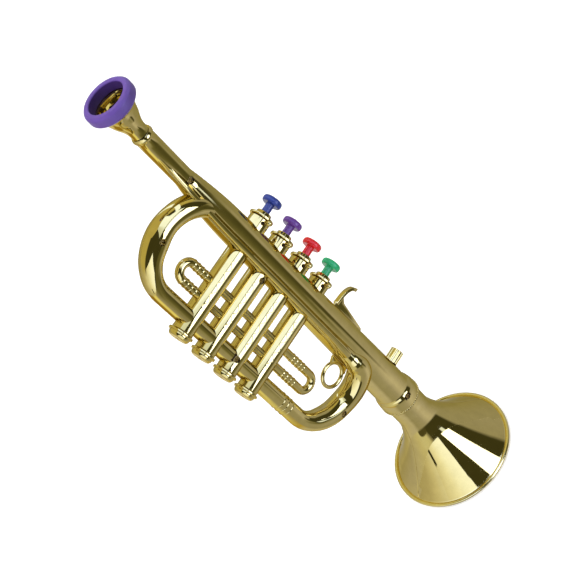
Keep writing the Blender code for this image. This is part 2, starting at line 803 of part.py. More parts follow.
def valve_spring(index, steel):
    """Helical spring from the deck up to the flange on the stem."""
    low = deck_top + clearance + spring_wire_radius
    flange_top = casing_rise() - cap_spigot_length
    high = flange_top - stem_flange_thickness - clearance - spring_wire_radius
    count = int(spring_turns * spring_points_per_turn)
    points = []
    for step in range(count + 1):
        angle = 2 * math.pi * step / spring_points_per_turn
        points.append((axis_x + low + (high - low) * step / count, spring_radius * math.cos(angle),
                       valve_z(index) + spring_radius * math.sin(angle)))
    name = "valve_spring_" + button_names[index]
    return finish(tube(name, points, [spring_wire_radius] * len(points), 6), steel)


# Reed chest

def chest_radius():
    """Room for the chest in the main tube: its bore's flats at the deck's upper end."""
    bore = main_radius(last_valve_z + deck_end) - wall
    return bore * math.cos(math.pi / round_steps) - clearance


def reed_deck(plastic):
    low = deck_top - deck_thickness
    half = math.sqrt(chest_radius() ** 2 - deck_top ** 2)
    deck = box("reed_deck", (axis_x + low, -half, first_valve_z - deck_end),
               (axis_x + deck_top, half, last_valve_z + deck_end))
    holes = [rod("hole", deck_hole_radius, low - overrun, deck_top + overrun,
                 toward_buttons((axis_x, 0, valve_z(index))), small_steps) for index in range(valve_count)]
    return finish(cut(deck, holes), plastic)


def block_floor():
    """Height of the cell floors: the pads stop just above it."""
    pad_low = deck_top - deck_thickness - clearance - pad_thickness
    return pad_low - button_travel - clearance


def pad_radius():
    """The pads and the cells round them are as wide as the chest's lower corners allow."""
    corner = math.sqrt(chest_radius() ** 2 - (block_floor() - block_wall) ** 2)
    return corner - block_wall - clearance


def reed_block(plastic):
    top = deck_top - deck_thickness - clearance
    floor = block_floor()
    half = pad_radius() + clearance
    block = box("reed_block", (axis_x + floor - block_wall, -half - block_wall, first_valve_z - deck_end),
                (axis_x + top, half + block_wall, last_valve_z + deck_end))
    cutters = []
    for index in range(valve_count):
        z = valve_z(index)
        cutters.append(box("cell", (axis_x + floor, -half, z - cell_half_length),
                           (axis_x + top + overrun, half, z + cell_half_length)))
        cutters.append(box("slot", (axis_x + floor - overrun, -reed_slot_half_width, z - reed_slot_half_length),
                           (axis_x + floor + overrun, reed_slot_half_width, z + reed_slot_half_length)))
    return finish(cut(block, cutters), plastic)


def reed(index, brass):
    """Thin tongue under a slot of the block, with one end fixed and the other free."""
    top = block_floor() - block_wall - clearance
    z = valve_z(index)
    outline = [(axis_x + top - reed_thickness, z - reed_half_length), (axis_x + top, z - reed_half_length),
               (axis_x + top, z + reed_half_length), (axis_x + top - reed_thickness, z + reed_half_length)]
    return finish(plate("reed_" + button_names[index], outline, -reed_half_width, reed_half_width), brass)


# Side slides, finger ring, hook and lyre socket

def side_slide(name, valve, direction, reach, rib_start, gold):
    """U of thin ribbed tube; the heads on its two legs are trapped inside a casing."""
    high_x = axis_x - upper_link_drop
    low_x = axis_x - lower_link_drop
    turn_radius = (high_x - low_x) / 2
    head_radius = slide_radius + slide_head_step
    bore_flat = casing_bore_radius * math.cos(math.pi / small_steps)
    head_end = math.sqrt(bore_flat ** 2 - head_radius ** 2) - clearance
    leg = [(head_end - slide_head_length, head_radius), (head_end, head_radius),
           (head_end + weld * 10, slide_radius)]
    for rib in range(slide_rib_count):
        middle = rib_start + slide_rib_pitch * rib
        leg += [(middle - slide_rib_half_length, slide_radius), (middle, slide_radius + slide_rib_rise),
                (middle + slide_rib_half_length, slide_radius)]
    points = [(high_x, 0, valve + direction * place) for place, radius in leg]
    radii = [radius for place, radius in leg]
    for step in range(slide_bend_steps + 1):
        angle = math.pi * step / slide_bend_steps
        points.append((low_x + turn_radius + turn_radius * math.cos(angle), 0,
                       valve + direction * (reach + turn_radius * math.sin(angle))))
        radii.append(slide_radius)
    points += [(low_x, 0, valve + direction * place) for place, radius in reversed(leg)]
    radii += [radius for place, radius in reversed(leg)]
    return finish(tube(name, points, radii, tube_steps), gold)


def ring_tab_middle():
    return lower_bend_z - finger_ring_below_bend


def hook_tab_middle():
    return first_valve_z - hook_below_valve - hook_tab_start - hook_tab_length / 2


def tab_slot(side, middle, half_length):
    """Slot through the main tube's wall for a web's tab; side is +1 to the buttons, -1 away."""
    half = web_half_thickness + clearance
    near, far = sorted((axis_x, axis_x + side * (barrel_radius + overrun)))
    return box("slot", (near, -half, middle - half_length - clearance),
               (far, half, middle + half_length + clearance))


def trapped_tab(side, middle, half_length):
    """Tab through the wall and the wider head inside the tube that holds it."""
    surface = min(main_radius(middle - half_length - head_overhang),
                  main_radius(middle + half_length + head_overhang))
    head_top = surface - wall - 2 * clearance
    neck = sorted((axis_x + side * (head_top - head_depth / 2), axis_x + side * (surface + 2 * clearance)))
    head = sorted((axis_x + side * (head_top - head_depth), axis_x + side * head_top))
    half = web_half_thickness
    wide = half_length + head_overhang
    return [box("neck", (neck[0], -half, middle - half_length), (neck[1], half, middle + half_length)),
            box("head", (head[0], -half, middle - wide), (head[1], half, middle + wide))]


def finger_ring(gold):
    """Ring for the little finger on a web under the main tube."""
    middle = ring_tab_middle()
    centre_x = axis_x - main_radius(middle) - finger_ring_below_tube
    points = []
    for step in range(round_steps):
        angle = 2 * math.pi * step / round_steps
        points.append((centre_x + finger_ring_radius * math.cos(angle), 0,
                       middle + finger_ring_radius * math.sin(angle)))
    ring = tube("finger_ring", points, [finger_ring_wire] * round_steps, small_steps - 4, closed=True)
    high, low = middle + ring_web_rise, middle - ring_web_fall
    outline = [(axis_x - main_radius(high) - clearance, high), (axis_x - main_radius(low) - clearance, low),
               (axis_x - main_radius(low) - ring_web_corner, low - finger_ring_wire)]
    for degrees in (-60, -30, 0, 30, 60):
        angle = math.radians(degrees)
        outline.append((centre_x + finger_ring_radius * math.cos(angle),
                        middle + finger_ring_radius * math.sin(angle)))
    outline.append((axis_x - main_radius(high) - ring_web_corner / 2, high))
    half = web_half_thickness
    web = plate("web", outline, -half, half)
    return finish(joined(ring, [web] + trapped_tab(-1, middle, ring_tab_half_length)), gold)


def finger_hook(gold):
    """Curled hook for a finger, braced by a long web on the button side of the main tube."""
    top = first_valve_z - hook_below_valve
    base = axis_x + main_radius(top)
    line = [Vector((base + hook_tip_rise * height, 0, top - hook_tip_reach * reach))
            for reach, height in hook_shares]
    near, far = [], []
    for index, place in enumerate(line):
        along = line[min(index + 1, len(line) - 1)] - line[max(index - 1, 0)]
        across = Vector((-along.z, 0, along.x)).normalized() * hook_half_thickness
        near.append((place.x + across.x, place.z + across.z))
        far.append((place.x - across.x, place.z - across.z))
    hook = plate("finger_hook", near + far[::-1], -hook_half_width, hook_half_width)
    end = top - hook_web_length
    crook = top - hook_web_crook_reach
    end_base = axis_x + main_radius(end)
    outline = [(base + clearance, top + hook_half_thickness),
               (end_base + clearance, end - hook_half_thickness), (end_base + hook_web_end_rise, end),
               (base + hook_web_crook_rise, crook), (base + hook_web_rise, top - hook_half_thickness),
               (base + hook_web_rise, top), (base + hook_web_end_rise, top + hook_half_thickness)]
    half = web_half_thickness
    web = plate("web", outline, -half, half)
    tab = trapped_tab(1, hook_tab_middle(), hook_tab_length / 2)
    return finish(joined(hook, [web] + tab), gold)


def lyre_socket(gold):
    """Fluted socket on a saddle, with a spigot whose head is trapped inside the main tube."""
    z = collar_top_z + socket_above_collar
    surface = main_radius(z)
    frame = toward_buttons((axis_x, 0, z))
    top = surface + socket_rise
    socket = rod("lyre_socket", socket_radius, surface - wall / 2, top, frame, round_steps)
    flutes = []
    for step in range(socket_flutes):
        turn = Matrix.Rotation(2 * math.pi * step / socket_flutes, 4, "Z")
        shift = Matrix.Translation((socket_radius, 0, 0))
        flutes.append(rod("flute", socket_flute_radius, surface, top + overrun, frame @ turn @ shift,
                          hole_steps))
    socket = cut(socket, flutes)
    saddle = rod("saddle", surface + clearance, z - socket_radius * 2, z + socket_radius * 2,
                 upright((axis_x, 0, 0)), fine_steps)
    socket = cut(socket, [saddle])
    head_top = surface - wall - 3 * clearance
    spigot = turned("spigot", [(0, head_top - head_depth), (socket_head_radius, head_top - head_depth),
                               (socket_head_radius, head_top), (socket_spigot_radius, head_top),
                               (socket_spigot_radius, surface + 3 * clearance), (0, surface + 3 * clearance)],
                    frame, round_steps)
    return finish(joined(socket, [spigot]), gold)


# Screws

def screw(name, x, z, surface, steel):
    seat = -(surface - screw_recess_depth) - clearance
    top = seat - screw_head_height
    edge = screw_head_height / 3
    profile = [(0, top), (screw_head_radius - edge, top), (screw_head_radius, top + edge),
               (screw_head_radius, seat), (screw_shank_radius, seat), (screw_shank_radius, screw_bite - edge),
               (screw_shank_radius / 2, screw_bite), (0, screw_bite)]
    made = turned("screw_" + name, profile, toward_back((x, 0, z)), small_steps)
    slim, wide = screw_drive_half_width, screw_drive_half_length
    drives = []
    for half_x, half_z in ((slim, wide), (wide, slim)):
        drives.append(box("drive", (x - half_x, top - overrun, z - half_z),
                          (x + half_x, top + screw_drive_depth, z + half_z)))
    return finish(cut(made, drives), steel)


def build():
    clear_scene()
    gold = material("gold_plate", (0.58, 0.47, 0.17), 0.16, 1.0)
    ring_purple = material("ring_purple", (0.19, 0.06, 0.42), 0.38, 0.0)
    button_colours = {
        "green": material("button_green", (0.03, 0.48, 0.20), 0.30, 0.0),
        "red": material("button_red", (0.78, 0.02, 0.03), 0.30, 0.0),
        "purple": material("button_purple", (0.25, 0.08, 0.46), 0.30, 0.0),
        "blue": material("button_blue", (0.05, 0.09, 0.48), 0.30, 0.0),
    }
    steel = material("spring_steel", (0.55, 0.55, 0.55), 0.30, 1.0)
    screw_steel = material("screw_steel", (0.40, 0.39, 0.37), 0.35, 1.0)
    brass = material("reed_brass", (0.66, 0.50, 0.20), 0.28, 1.0)
    rubber = material("pad_rubber", (0.04, 0.04, 0.04), 0.75, 0.0)
    chest = material("chest_plastic", (0.75, 0.74, 0.70), 0.50, 0.0)

    body_shells(gold)
    bell(gold)
    mouthpiece_ring(ring_purple)
    mouthpiece_cup(gold)
    mouthpiece_grille(gold)
    for index in range(valve_count):
        valve_button(index, button_colours[button_names[index]])
        valve_top_cap(index, gold)
        valve_foot_cap(index, gold)
        valve_pad(index, rubber)
        valve_spring(index, steel)
        reed(index, brass)
    reed_deck(chest)
    reed_block(chest)
    side_slide("upper_side_slide", last_valve_z, 1, upper_slide_reach, upper_rib_start, gold)
    side_slide("lower_side_slide", first_valve_z, -1, lower_slide_reach, lower_rib_start, gold)
    finger_ring(gold)
    finger_hook(gold)
    lyre_socket(gold)
    for name, (x, z, surface) in screw_places().items():
        screw(name, x, z, surface, screw_steel)


build()
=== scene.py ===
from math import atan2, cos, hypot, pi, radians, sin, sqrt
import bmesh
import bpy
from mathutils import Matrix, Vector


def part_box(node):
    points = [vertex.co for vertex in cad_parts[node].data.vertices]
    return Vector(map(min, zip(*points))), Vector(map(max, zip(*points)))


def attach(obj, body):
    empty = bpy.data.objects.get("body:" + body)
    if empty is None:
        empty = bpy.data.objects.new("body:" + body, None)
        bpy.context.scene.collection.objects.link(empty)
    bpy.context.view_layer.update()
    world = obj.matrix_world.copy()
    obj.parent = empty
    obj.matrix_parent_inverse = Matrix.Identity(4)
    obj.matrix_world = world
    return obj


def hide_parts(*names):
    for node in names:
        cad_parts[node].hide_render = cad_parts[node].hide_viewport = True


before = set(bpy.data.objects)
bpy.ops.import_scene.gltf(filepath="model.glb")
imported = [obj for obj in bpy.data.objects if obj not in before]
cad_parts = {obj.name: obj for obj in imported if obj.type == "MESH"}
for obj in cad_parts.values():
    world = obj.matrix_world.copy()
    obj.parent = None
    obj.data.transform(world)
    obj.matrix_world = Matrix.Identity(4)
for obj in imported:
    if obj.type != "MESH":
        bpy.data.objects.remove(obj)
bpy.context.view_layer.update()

# %% [markdown]
# # A toy trumpet in moulded plastic with a bright gold coating
# The trumpet stands on its bell. Its main tube runs straight up from the bell to the
# mouthpiece, a loop of tube hangs from it, and four valve casings cross the loop. The
# engineering model already holds every piece in its place. This lesson builds a finer
# skin over each piece, gives each one a finish made with shader nodes, and lights it
# like a studio picture of something shiny.

mm = 0.001
axis_x = sum(corner[0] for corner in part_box("bell")) / 2 / mm
print("the main tube stands at x =", round(axis_x, 2), "mm")

# %% [markdown]
# ## Sizes
# The same sizes that the engineering model was drawn with, so that each skin lies on its
# own piece. Every shape is drawn in millimetres round the main tube's axis; it is scaled
# to metres and moved to its place when it becomes a piece. Heights count from the rim.

# %% Heights along the main tube
collar_mouth_z = 70
collar_top_z = 83.5
lower_bend_z = 137
valve_pitch = 20.84
valve_z = [182 + valve_pitch * index for index in range(4)]
upper_bend_z = 269.72
taper_top_z = 303.02
body_top_z = 339.62
face_z = 368.02
valve_names = ["green", "red", "purple", "blue"]
print("valves at", [round(z, 1) for z in valve_z])

# %% [markdown]
# ## Shared shape tools
# Most of a trumpet is turned or bent tube. A turned piece starts as a line of points and
# is spun round its axis; a bent tube is a curve with a round bevel, whose points carry
# their own radius. Both give even rows of faces, which a mirror-bright coating needs:
# any kink in the mesh shows as a kink in the reflection.

# %% A smooth curve through a table of shares
def through(table, place):
    """Value at a place on a smooth curve through the points of a table."""
    places, values = zip(*table)
    if place <= places[0]:
        return values[0]
    if place >= places[-1]:
        return values[-1]
    step = next(i for i in range(len(places) - 1) if places[i + 1] >= place)
    width = places[step + 1] - places[step]
    share = (place - places[step]) / width

    def slope(index):
        if index in (0, len(places) - 1):
            return 0
        return (values[index + 1] - values[index - 1]) / (places[index + 1] - places[index - 1])

    rest = 1 - share
    bends = slope(step) * rest - slope(step + 1) * share
    smooth = share ** 2 * (3 - 2 * share)
    return values[step] * (1 - smooth) + values[step + 1] * smooth + bends * width * share * rest


def spaced(start, end, count):
    """Evenly spaced values from start to end, with so many gaps."""
    return [start + (end - start) * step / count for step in range(count + 1)]


# %% Where a piece stands
def toward_buttons(z):
    """Frame on the main tube's axis whose Z points to the buttons."""
    return Matrix.Translation((0, 0, z)) @ Matrix.Rotation(pi / 2, 4, "Y")


def toward_back(x, z):
    """Frame whose Z points from the front to the back."""
    return Matrix.Translation((x, 0, z)) @ Matrix.Rotation(-pi / 2, 4, "X")


# %% From meshes to objects and back
weld = 0.0005


def cleaned(bm):
    """Mesh with its double points welded and its faces turned outward."""
    bmesh.ops.remove_doubles(bm, verts=bm.verts[:], dist=weld)
    bmesh.ops.recalc_face_normals(bm, faces=bm.faces[:])
    return bm


def placed(name, data):
    """Object in the scene for a mesh, curve, camera or lamp."""
    made = bpy.data.objects.new(name, data)
    bpy.context.scene.collection.objects.link(made)
    return made


def solid(name, bm):
    """Object for a mesh under construction, which is freed."""
    mesh = bpy.data.meshes.new(name)
    bm.to_mesh(mesh)
    bm.free()
    return placed(name, mesh)


def settled(made):
    """Mesh of an object with its bevel or modifier applied; the object goes."""
    bm = bmesh.new()
    bm.from_mesh(made.evaluated_get(bpy.context.evaluated_depsgraph_get()).to_mesh())
    bpy.data.objects.remove(made, do_unlink=True)
    return bm


# %% Turned shapes
def softened(corners, steps):
    """Profile of (radius, height) corners; one with a rounding as well is cut to a small curve."""
    profile = []
    for index, (radius, height, *rounding) in enumerate(corners):
        here = Vector((radius, height))
        if not any(rounding) or index in (0, len(corners) - 1):
            profile.append(tuple(here))
            continue
        before = Vector(corners[index - 1][:2]) - here
        after = Vector(corners[index + 1][:2]) - here
        start = here + before.normalized() * min(*rounding, before.length * 0.49)
        end = here + after.normalized() * min(*rounding, after.length * 0.49)
        for step in range(steps + 1):
            t = step / steps
            point = start * (1 - t) ** 2 + here * 2 * t * (1 - t) + end * t ** 2
            profile.append(tuple(point))
    return profile


def turned(corners, steps, place=Matrix(), closed=False, curve=4):
    """Mesh of a softened profile spun about the Z of a frame."""
    bm = bmesh.new()
    points = [bm.verts.new((radius, 0, height)) for radius, height in softened(corners, curve)]
    edges = [bm.edges.new(pair) for pair in zip(points, points[1:])]
    if closed:
        edges.append(bm.edges.new((points[-1], points[0])))
    bmesh.ops.spin(bm, geom=points + edges, axis=(0, 0, 1), cent=(0, 0, 0), angle=2 * pi,
                   steps=steps, use_merge=True)
    cleaned(bm).transform(place)
    return bm


# %% Bent tubes
def bent(line, sides, closed=False):
    """Mesh of a round tube along a line of (place, radius)."""
    curve = bpy.data.curves.new("path", "CURVE")
    curve.dimensions = "3D"
    curve.fill_mode = "FULL"
    curve.twist_mode = "MINIMUM"
    curve.bevel_depth = 1
    curve.bevel_resolution = (sides - 4) // 2
    curve.use_fill_caps = not closed
    spline = curve.splines.new("POLY")
    spline.points.add(len(line) - 1)
    for point, (place, radius) in zip(spline.points, line):
        point.co = (*place, 1)
        point.radius = radius
    spline.use_cyclic_u = closed
    return cleaned(settled(placed("path", curve)))


# %% Gathering shapes into one piece
def add(whole, *parts):
    """Put the meshes of some shapes into one, and free them."""
    for part in parts:
        carried = bpy.data.meshes.new("carried")
        part.to_mesh(carried)
        whole.from_mesh(carried)
        part.free()
        bpy.data.meshes.remove(carried)
    return whole


def carved(bm, cutters):
    """Shape with some closed shapes cut out of it by an exact Boolean."""
    cutter = solid("cutter", add(bmesh.new(), *cutters))
    whole = solid("carved", bm)
    modifier = whole.modifiers.new("cut", "BOOLEAN")
    modifier.operation = "DIFFERENCE"
    modifier.solver = "EXACT"
    modifier.object = cutter
    made = settled(whole)
    bmesh.ops.remove_doubles(made, verts=made.verts[:], dist=weld)
    bpy.data.objects.remove(cutter, do_unlink=True)
    return made


def half_of(bm, side, gap=0.12):
    """Keep one side of the parting plane (-1 front, +1 back) and close the cut."""
    cut = bmesh.ops.bisect_plane(bm, geom=bm.verts[:] + bm.edges[:] + bm.faces[:], dist=weld,
                                 plane_co=(0, side * gap / 2, 0), plane_no=(0, -side, 0), clear_outer=True)
    rim = [part for part in cut["geom_cut"] if isinstance(part, bmesh.types.BMEdge)]
    bmesh.ops.edgeloop_fill(bm, edges=[edge for edge in rim if edge.is_boundary])
    bmesh.ops.recalc_face_normals(bm, faces=bm.faces[:])
    return bm


# %% Turning a mesh into a finished piece
sharp_angle = radians(32)


def piece(name, bm, finish, nodes, body="trumpet", second=None):
    """Object in metres for a mesh, which stands for some nodes of the engineering model."""
    bm.transform(Matrix.Diagonal((mm, mm, mm, 1)) @ Matrix.Translation((axis_x, 0, 0)))
    made = solid(name, bm)
    made.data.materials.append(finish)
    if second:
        made.data.materials.append(second)
    made.data.shade_smooth()
    made.data.set_sharp_from_angle(angle=sharp_angle)
    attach(made, body)
    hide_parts(*nodes)
    print(name, len(made.data.polygons), "faces")

# %% [markdown]
# ## The finishes
# The real trumpet is hard plastic with a thin mirror of metal under a yellow lacquer. Up
# close such a coating rolls gently with the plastic, carries fine specks and rubbed
# patches, and wears pale on its edges. A node group draws this for every moulded piece.

# %% Small helpers for node trees
def give(tree, socket, value):
    """Link a node's output to a socket, or set the socket's own value."""
    if isinstance(value, bpy.types.NodeSocket):
        tree.links.new(value, socket)
    else:
        socket.default_value = value


def node(tree, kind, inputs=None, **settings):
    """Add a shader node, set its properties and fill its inputs by name or number."""
    made = tree.nodes.new("ShaderNode" + kind)
    for key, value in settings.items():
        setattr(made, key, value)
    for key, value in (inputs or {}).items():
        give(tree, made.inputs[key], value)
    return made


def calc(tree, operation, *values, clamp=False):
    """Result of a math node."""
    return node(tree, "Math", dict(enumerate(values)), operation=operation, use_clamp=clamp).outputs[0]


def remap(tree, value, low, high, start=0, end=1):
    """Value that goes from start to end while another goes from low to high."""
    return node(tree, "MapRange", {"Value": value, "From Min": low, "From Max": high, "To Min": start,
                                   "To Max": end}).outputs["Result"]


def mix(tree, share, first, second):
    """Colour between two colours."""
    return node(tree, "Mix", {0: share, "A": first, "B": second}, data_type="RGBA").outputs["Result"]


def ramp(tree, factor, stops):
    """Colour ramp between (place, colour) stops."""
    made = node(tree, "ValToRGB", {"Fac": factor})
    elements = made.color_ramp.elements
    while len(elements) < len(stops):
        elements.new(0.5)
    for element, (place, colour) in zip(elements, stops):
        element.position = place
        element.color = (*colour, 1)
    return made.outputs["Color"]


# %% The surface of moulded plastic, as a node group
def surface_group():
    """Slow rolls, fine grain, specks and edge wear, for any moulded piece."""
    tree = bpy.data.node_groups.new("moulded_surface", "ShaderNodeTree")
    inputs = {"Colour": (0.5, 0.5, 0.5, 1), "Worn Colour": (0.8, 0.8, 0.8, 1), "Roughness": 0.2,
              "Roughness Spread": 0.1, "Wear": 0.3, "Roll": 0.3, "Grain": 0.1}
    for name, value in inputs.items():
        kind = "NodeSocketColor" if isinstance(value, tuple) else "NodeSocketFloat"
        tree.interface.new_socket(name=name, in_out="INPUT", socket_type=kind).default_value = value
    given = tree.nodes.new("NodeGroupInput").outputs
    place = node(tree, "TexCoord").outputs["Object"]

    def noise(scale, detail, roughness=0.5):
        inputs = {"Vector": place, "Scale": scale, "Detail": detail, "Roughness": roughness}
        return node(tree, "TexNoise", inputs).outputs["Fac"]

    rolls, patches, grain = noise(70, 2), noise(160, 6, 0.65), noise(2600, 3)
    edges = node(tree, "NewGeometry").outputs["Pointiness"]
    worn = calc(tree, "MULTIPLY", remap(tree, edges, 0.515, 0.6), remap(tree, patches, 0.42, 0.62))
    worn = calc(tree, "MULTIPLY", worn, given["Wear"])
    shade = remap(tree, patches, 0.3, 0.7, 0.94, 1.05)
    tinted = node(tree, "VectorMath", {0: given["Colour"], "Scale": shade}, operation="SCALE").outputs[0]
    spread = calc(tree, "MULTIPLY", remap(tree, patches, 0.35, 0.75, -0.3, 1), given["Roughness Spread"])
    rough = calc(tree, "ADD", given["Roughness"], spread, clamp=True)
    slow = calc(tree, "MULTIPLY", rolls, given["Roll"])
    results = {"Colour": mix(tree, worn, tinted, given["Worn Colour"]),
               "Roughness": calc(tree, "MULTIPLY_ADD", worn, 0.25, rough, clamp=True),
               "Height": calc(tree, "MULTIPLY_ADD", grain, given["Grain"], slow)}
    out = tree.nodes.new("NodeGroupOutput")
    for name, value in results.items():
        kind = "NodeSocketColor" if name == "Colour" else "NodeSocketFloat"
        tree.interface.new_socket(name=name, in_out="OUTPUT", socket_type=kind)
        tree.links.new(value, out.inputs[name])
    return tree


moulded = surface_group()
print("group", moulded.name, "with", len(moulded.nodes), "nodes")


# %% A finish from the group
def finish_of(name, colour, worn_colour, roughness, spread, metallic, wear=0.3, roll=0.3, grain=0.1,
              depth=0.02 * mm, **constants):
    """Material that takes its colour, roughness and relief from the surface group."""
    made = bpy.data.materials.new(name)
    made.use_nodes = True
    tree = made.node_tree
    surface = node(tree, "Group", node_tree=moulded)
    for key, value in (("Colour", (*colour, 1)), ("Worn Colour", (*worn_colour, 1)), ("Roughness", roughness),
                       ("Roughness Spread", spread), ("Wear", wear), ("Roll", roll), ("Grain", grain)):
        surface.inputs[key].default_value = value
    bump = node(tree, "Bump", {"Height": surface.outputs["Height"], "Distance": depth, "Strength": 1})
    filled = {"Base Color": surface.outputs["Colour"], "Roughness": surface.outputs["Roughness"],
              "Normal": bump.outputs["Normal"], "Metallic": metallic, **constants}
    for key, value in filled.items():
        give(tree, tree.nodes["Principled BSDF"].inputs[key.replace("_", " ")], value)
    return made


# %% The finishes of this trumpet
gold = finish_of("gold_coating", (0.7, 0.575, 0.235), (0.82, 0.74, 0.46), 0.035, 0.05, 1, wear=0.4,
                 roll=1, grain=0.02, depth=0.03 * mm, Specular_Tint=(0.8, 0.72, 0.42, 1))
ring_purple = finish_of("ring_plastic", (0.12, 0.058, 0.345), (0.3, 0.21, 0.62), 0.42, 0.12, 0)
# A darker purple for the inside of the ring's hole: painted shade.
ring_painted_shade = finish_of("ring_inside_painted_shade", (0.05, 0.018, 0.16), (0.12, 0.07, 0.3), 0.5, 0.12, 0)
button_colours = {
    "green": ((0.02, 0.5, 0.2), (0.2, 0.68, 0.42)), "red": ((0.84, 0.01, 0.018), (0.9, 0.16, 0.14)),
    "purple": ((0.15, 0.045, 0.34), (0.34, 0.2, 0.56)), "blue": ((0.02, 0.045, 0.3), (0.16, 0.24, 0.62)),
}
button_finishes = {name: finish_of(name + "_plastic", *colours, 0.22, 0.1, 0)
                   for name, colours in button_colours.items()}
# Brighter gold for the bell's rolled rim: a painted highlight.
rim_painted_highlight_gold = finish_of("rim_painted_highlight_gold", (0.84, 0.73, 0.37), (0.9, 0.82, 0.55), 0.14, 0.1, 1, wear=0.5,
                        roll=1, grain=0.05, depth=0.03 * mm, Specular_Tint=(0.85, 0.77, 0.48, 1))
spring_wire = finish_of("spring_wire", (0.55, 0.55, 0.55), (0.7, 0.7, 0.7), 0.28, 0.1, 1)
screw_metal = finish_of("screw_metal", (0.42, 0.31, 0.12), (0.6, 0.5, 0.3), 0.26, 0.12, 1)
# Near-black for the screws' holes and the discs beside the knobs: painted shade.
painted_shade_plastic = finish_of("painted_shade_plastic", (0.03, 0.017, 0.005), (0.06, 0.04, 0.015), 0.75, 0.12, 0,
                         Specular_IOR_Level=0.08)
reed_metal = finish_of("reed_metal", (0.66, 0.5, 0.2), (0.8, 0.66, 0.4), 0.28, 0.1, 1)
pad_rubber = finish_of("pad_rubber", (0.03, 0.03, 0.03), (0.1, 0.1, 0.1), 0.75, 0.1, 0, grain=1)
chest_plastic = finish_of("chest_plastic", (0.72, 0.71, 0.66), (0.8, 0.8, 0.76), 0.5, 0.1, 0, grain=0.5)
print("finishes", len(bpy.data.materials))

# %% [markdown]
# ## The main tube
# One long turned tube: a collar over the bell's neck, a fat barrel, a slow taper and the
# slim lead tube with a bead where the mouthpiece goes in. It is moulded in two halves,
# so every part of it is cut on the plane of the valves and the two halves nearly touch.

# %% Outline of the main tube
lead_radius = 5.5
barrel_radius = 11.5
collar_radius = 13.3
main_taper = [(0, 1), (0.18, 0.92), (0.27, 0.86), (0.39, 0.8), (0.54, 0.73), (0.67, 0.68), (0.8, 0.6),
              (0.86, 0.51), (0.91, 0.37), (0.95, 0.22), (0.98, 0.1), (1, 0)]
collar_swell = [(0, 0.7), (0.015, 0.95), (0.05, 1), (0.09, 0.98), (0.13, 0.88), (0.22, 0.9), (0.45, 0.9),
                (0.74, 0.6), (1, 0)]
bead_length = 3.6
bead_rise = 0.6


def main_radius(z):
    """Outside radius of the main tube at a height."""
    if z <= collar_top_z:
        share = (z - collar_mouth_z) / (collar_top_z - collar_mouth_z)
        return barrel_radius + (collar_radius - barrel_radius) * through(collar_swell, share)
    if z <= taper_top_z:
        share = (z - collar_top_z) / (taper_top_z - collar_top_z)
        return lead_radius + (barrel_radius - lead_radius) * through(main_taper, share)
    share = (z - (body_top_z - bead_length)) / bead_length
    return lead_radius + (bead_rise * sin(pi * share) if share > 0 else 0)


def main_tube():
    """Whole main tube as a closed solid."""
    bead_z = body_top_z - bead_length
    heights = spaced(collar_mouth_z, collar_top_z, 60) + spaced(collar_top_z, taper_top_z, 80)[1:]
    heights += spaced(taper_top_z, bead_z, 6)[1:] + spaced(bead_z, body_top_z, 10)[1:]
    return turned([(0, collar_mouth_z)] + [(main_radius(z), z) for z in heights] + [(0, body_top_z)], 256)


print("collar radius", round(main_radius(75), 2), "mm, lead radius", round(main_radius(320), 2), "mm")

# %% [markdown]
# ## The loop of tube
# The loop leaves the main tube near the mouthpiece, runs past the valves' feet and comes
# back over the collar. Both bends are fatter than the straight run and not quite round, so
# path and radius each follow a table of shares. From the lower bend a slim tube goes on up
# the front of the main tube, half sunk in it, with a fine groove beside it. The turned
# main tube is pushed out to meet it, so that both belong to one even mesh.

# %% Path and radius of the loop
loop_drop = 53.1
run_drop = 1.7
loop_radius = 5.4
bend_radius = (loop_drop - run_drop) / 2
bend_x = -run_drop - bend_radius
# size and shares of the way forward, the swelling and the shift outward
upper_bend = [
    (6, [(-0.12, 0), (0, 0.06), (0.11, 0.2), (0.25, 0.3), (0.5, 0.15), (0.75, 0)]),
    (1.4, [(-0.12, -1.2), (-0.05, -0.55), (0, -0.05), (0.12, 0.55), (0.25, 1), (0.42, 1), (0.6, 1.3),
           (0.72, 0.9), (0.85, 0.35), (1, 0)]),
    (1.4, [(0, 0.4), (0.12, 1), (0.25, 0.8), (0.4, 0.05), (0.5, -0.3), (0.62, -0.8), (0.75, -0.4),
           (0.9, 0)]),
]
lower_bend = [
    (7.3, [(0, 0.9), (0.11, 1), (0.17, 0.95), (0.28, 0.66), (0.5, 0.05), (0.6, 0)]),
    (2.2, [(0, -0.36), (0.06, -0.1), (0.11, 0.27), (0.17, 0.62), (0.24, 1), (0.55, 1), (0.75, 0.75),
           (0.87, 0.3), (1, 0)]),
    (1.2, [(0, -4.2), (0.11, -3.3), (0.17, -1.7), (0.24, -0.2), (0.3, 0), (0.42, 0), (0.62, -0.9),
           (0.75, -1), (0.85, -0.6), (1, 0)]),
]
# share of the height between the bends, then drop, reach and radius
loop_end = [(0.05, 5.6, 5.3, 4.2), (0.1, 4.5, 4, 3.8), (0.17, 3, 2.5, 3.2)]
front_rib = [(-0.06, 7.3, 6.9, 3.4), (0, 6.9, 7.1, 3.7), (0.06, 6.7, 7.7, 3.2), (0.12, 6.5, 8, 2.6),
             (0.3, 6.3, 8.1, 2.1), (0.6, 6.1, 7.5, 2.1), (0.9, 5.9, 6.7, 2.1), (1.11, 4.8, 5.5, 1.9),
             (1.23, 4.1, 4.8, 1.7), (1.36, 2.9, 3.3, 1.3)]


def on_bend(bend, turn, centre_z, side):
    """Place and radius at a share of a bend's half turn, counted from the main tube."""
    angle = pi * max(turn, 0)
    forward, swell, shift = (size * through(shares, turn) for size, shares in bend)
    radius = bend_radius + shift
    height = centre_z + side * (radius * sin(angle) + pi * bend_radius * min(turn, 0))
    return (bend_x + radius * cos(angle), -forward, height), loop_radius + swell


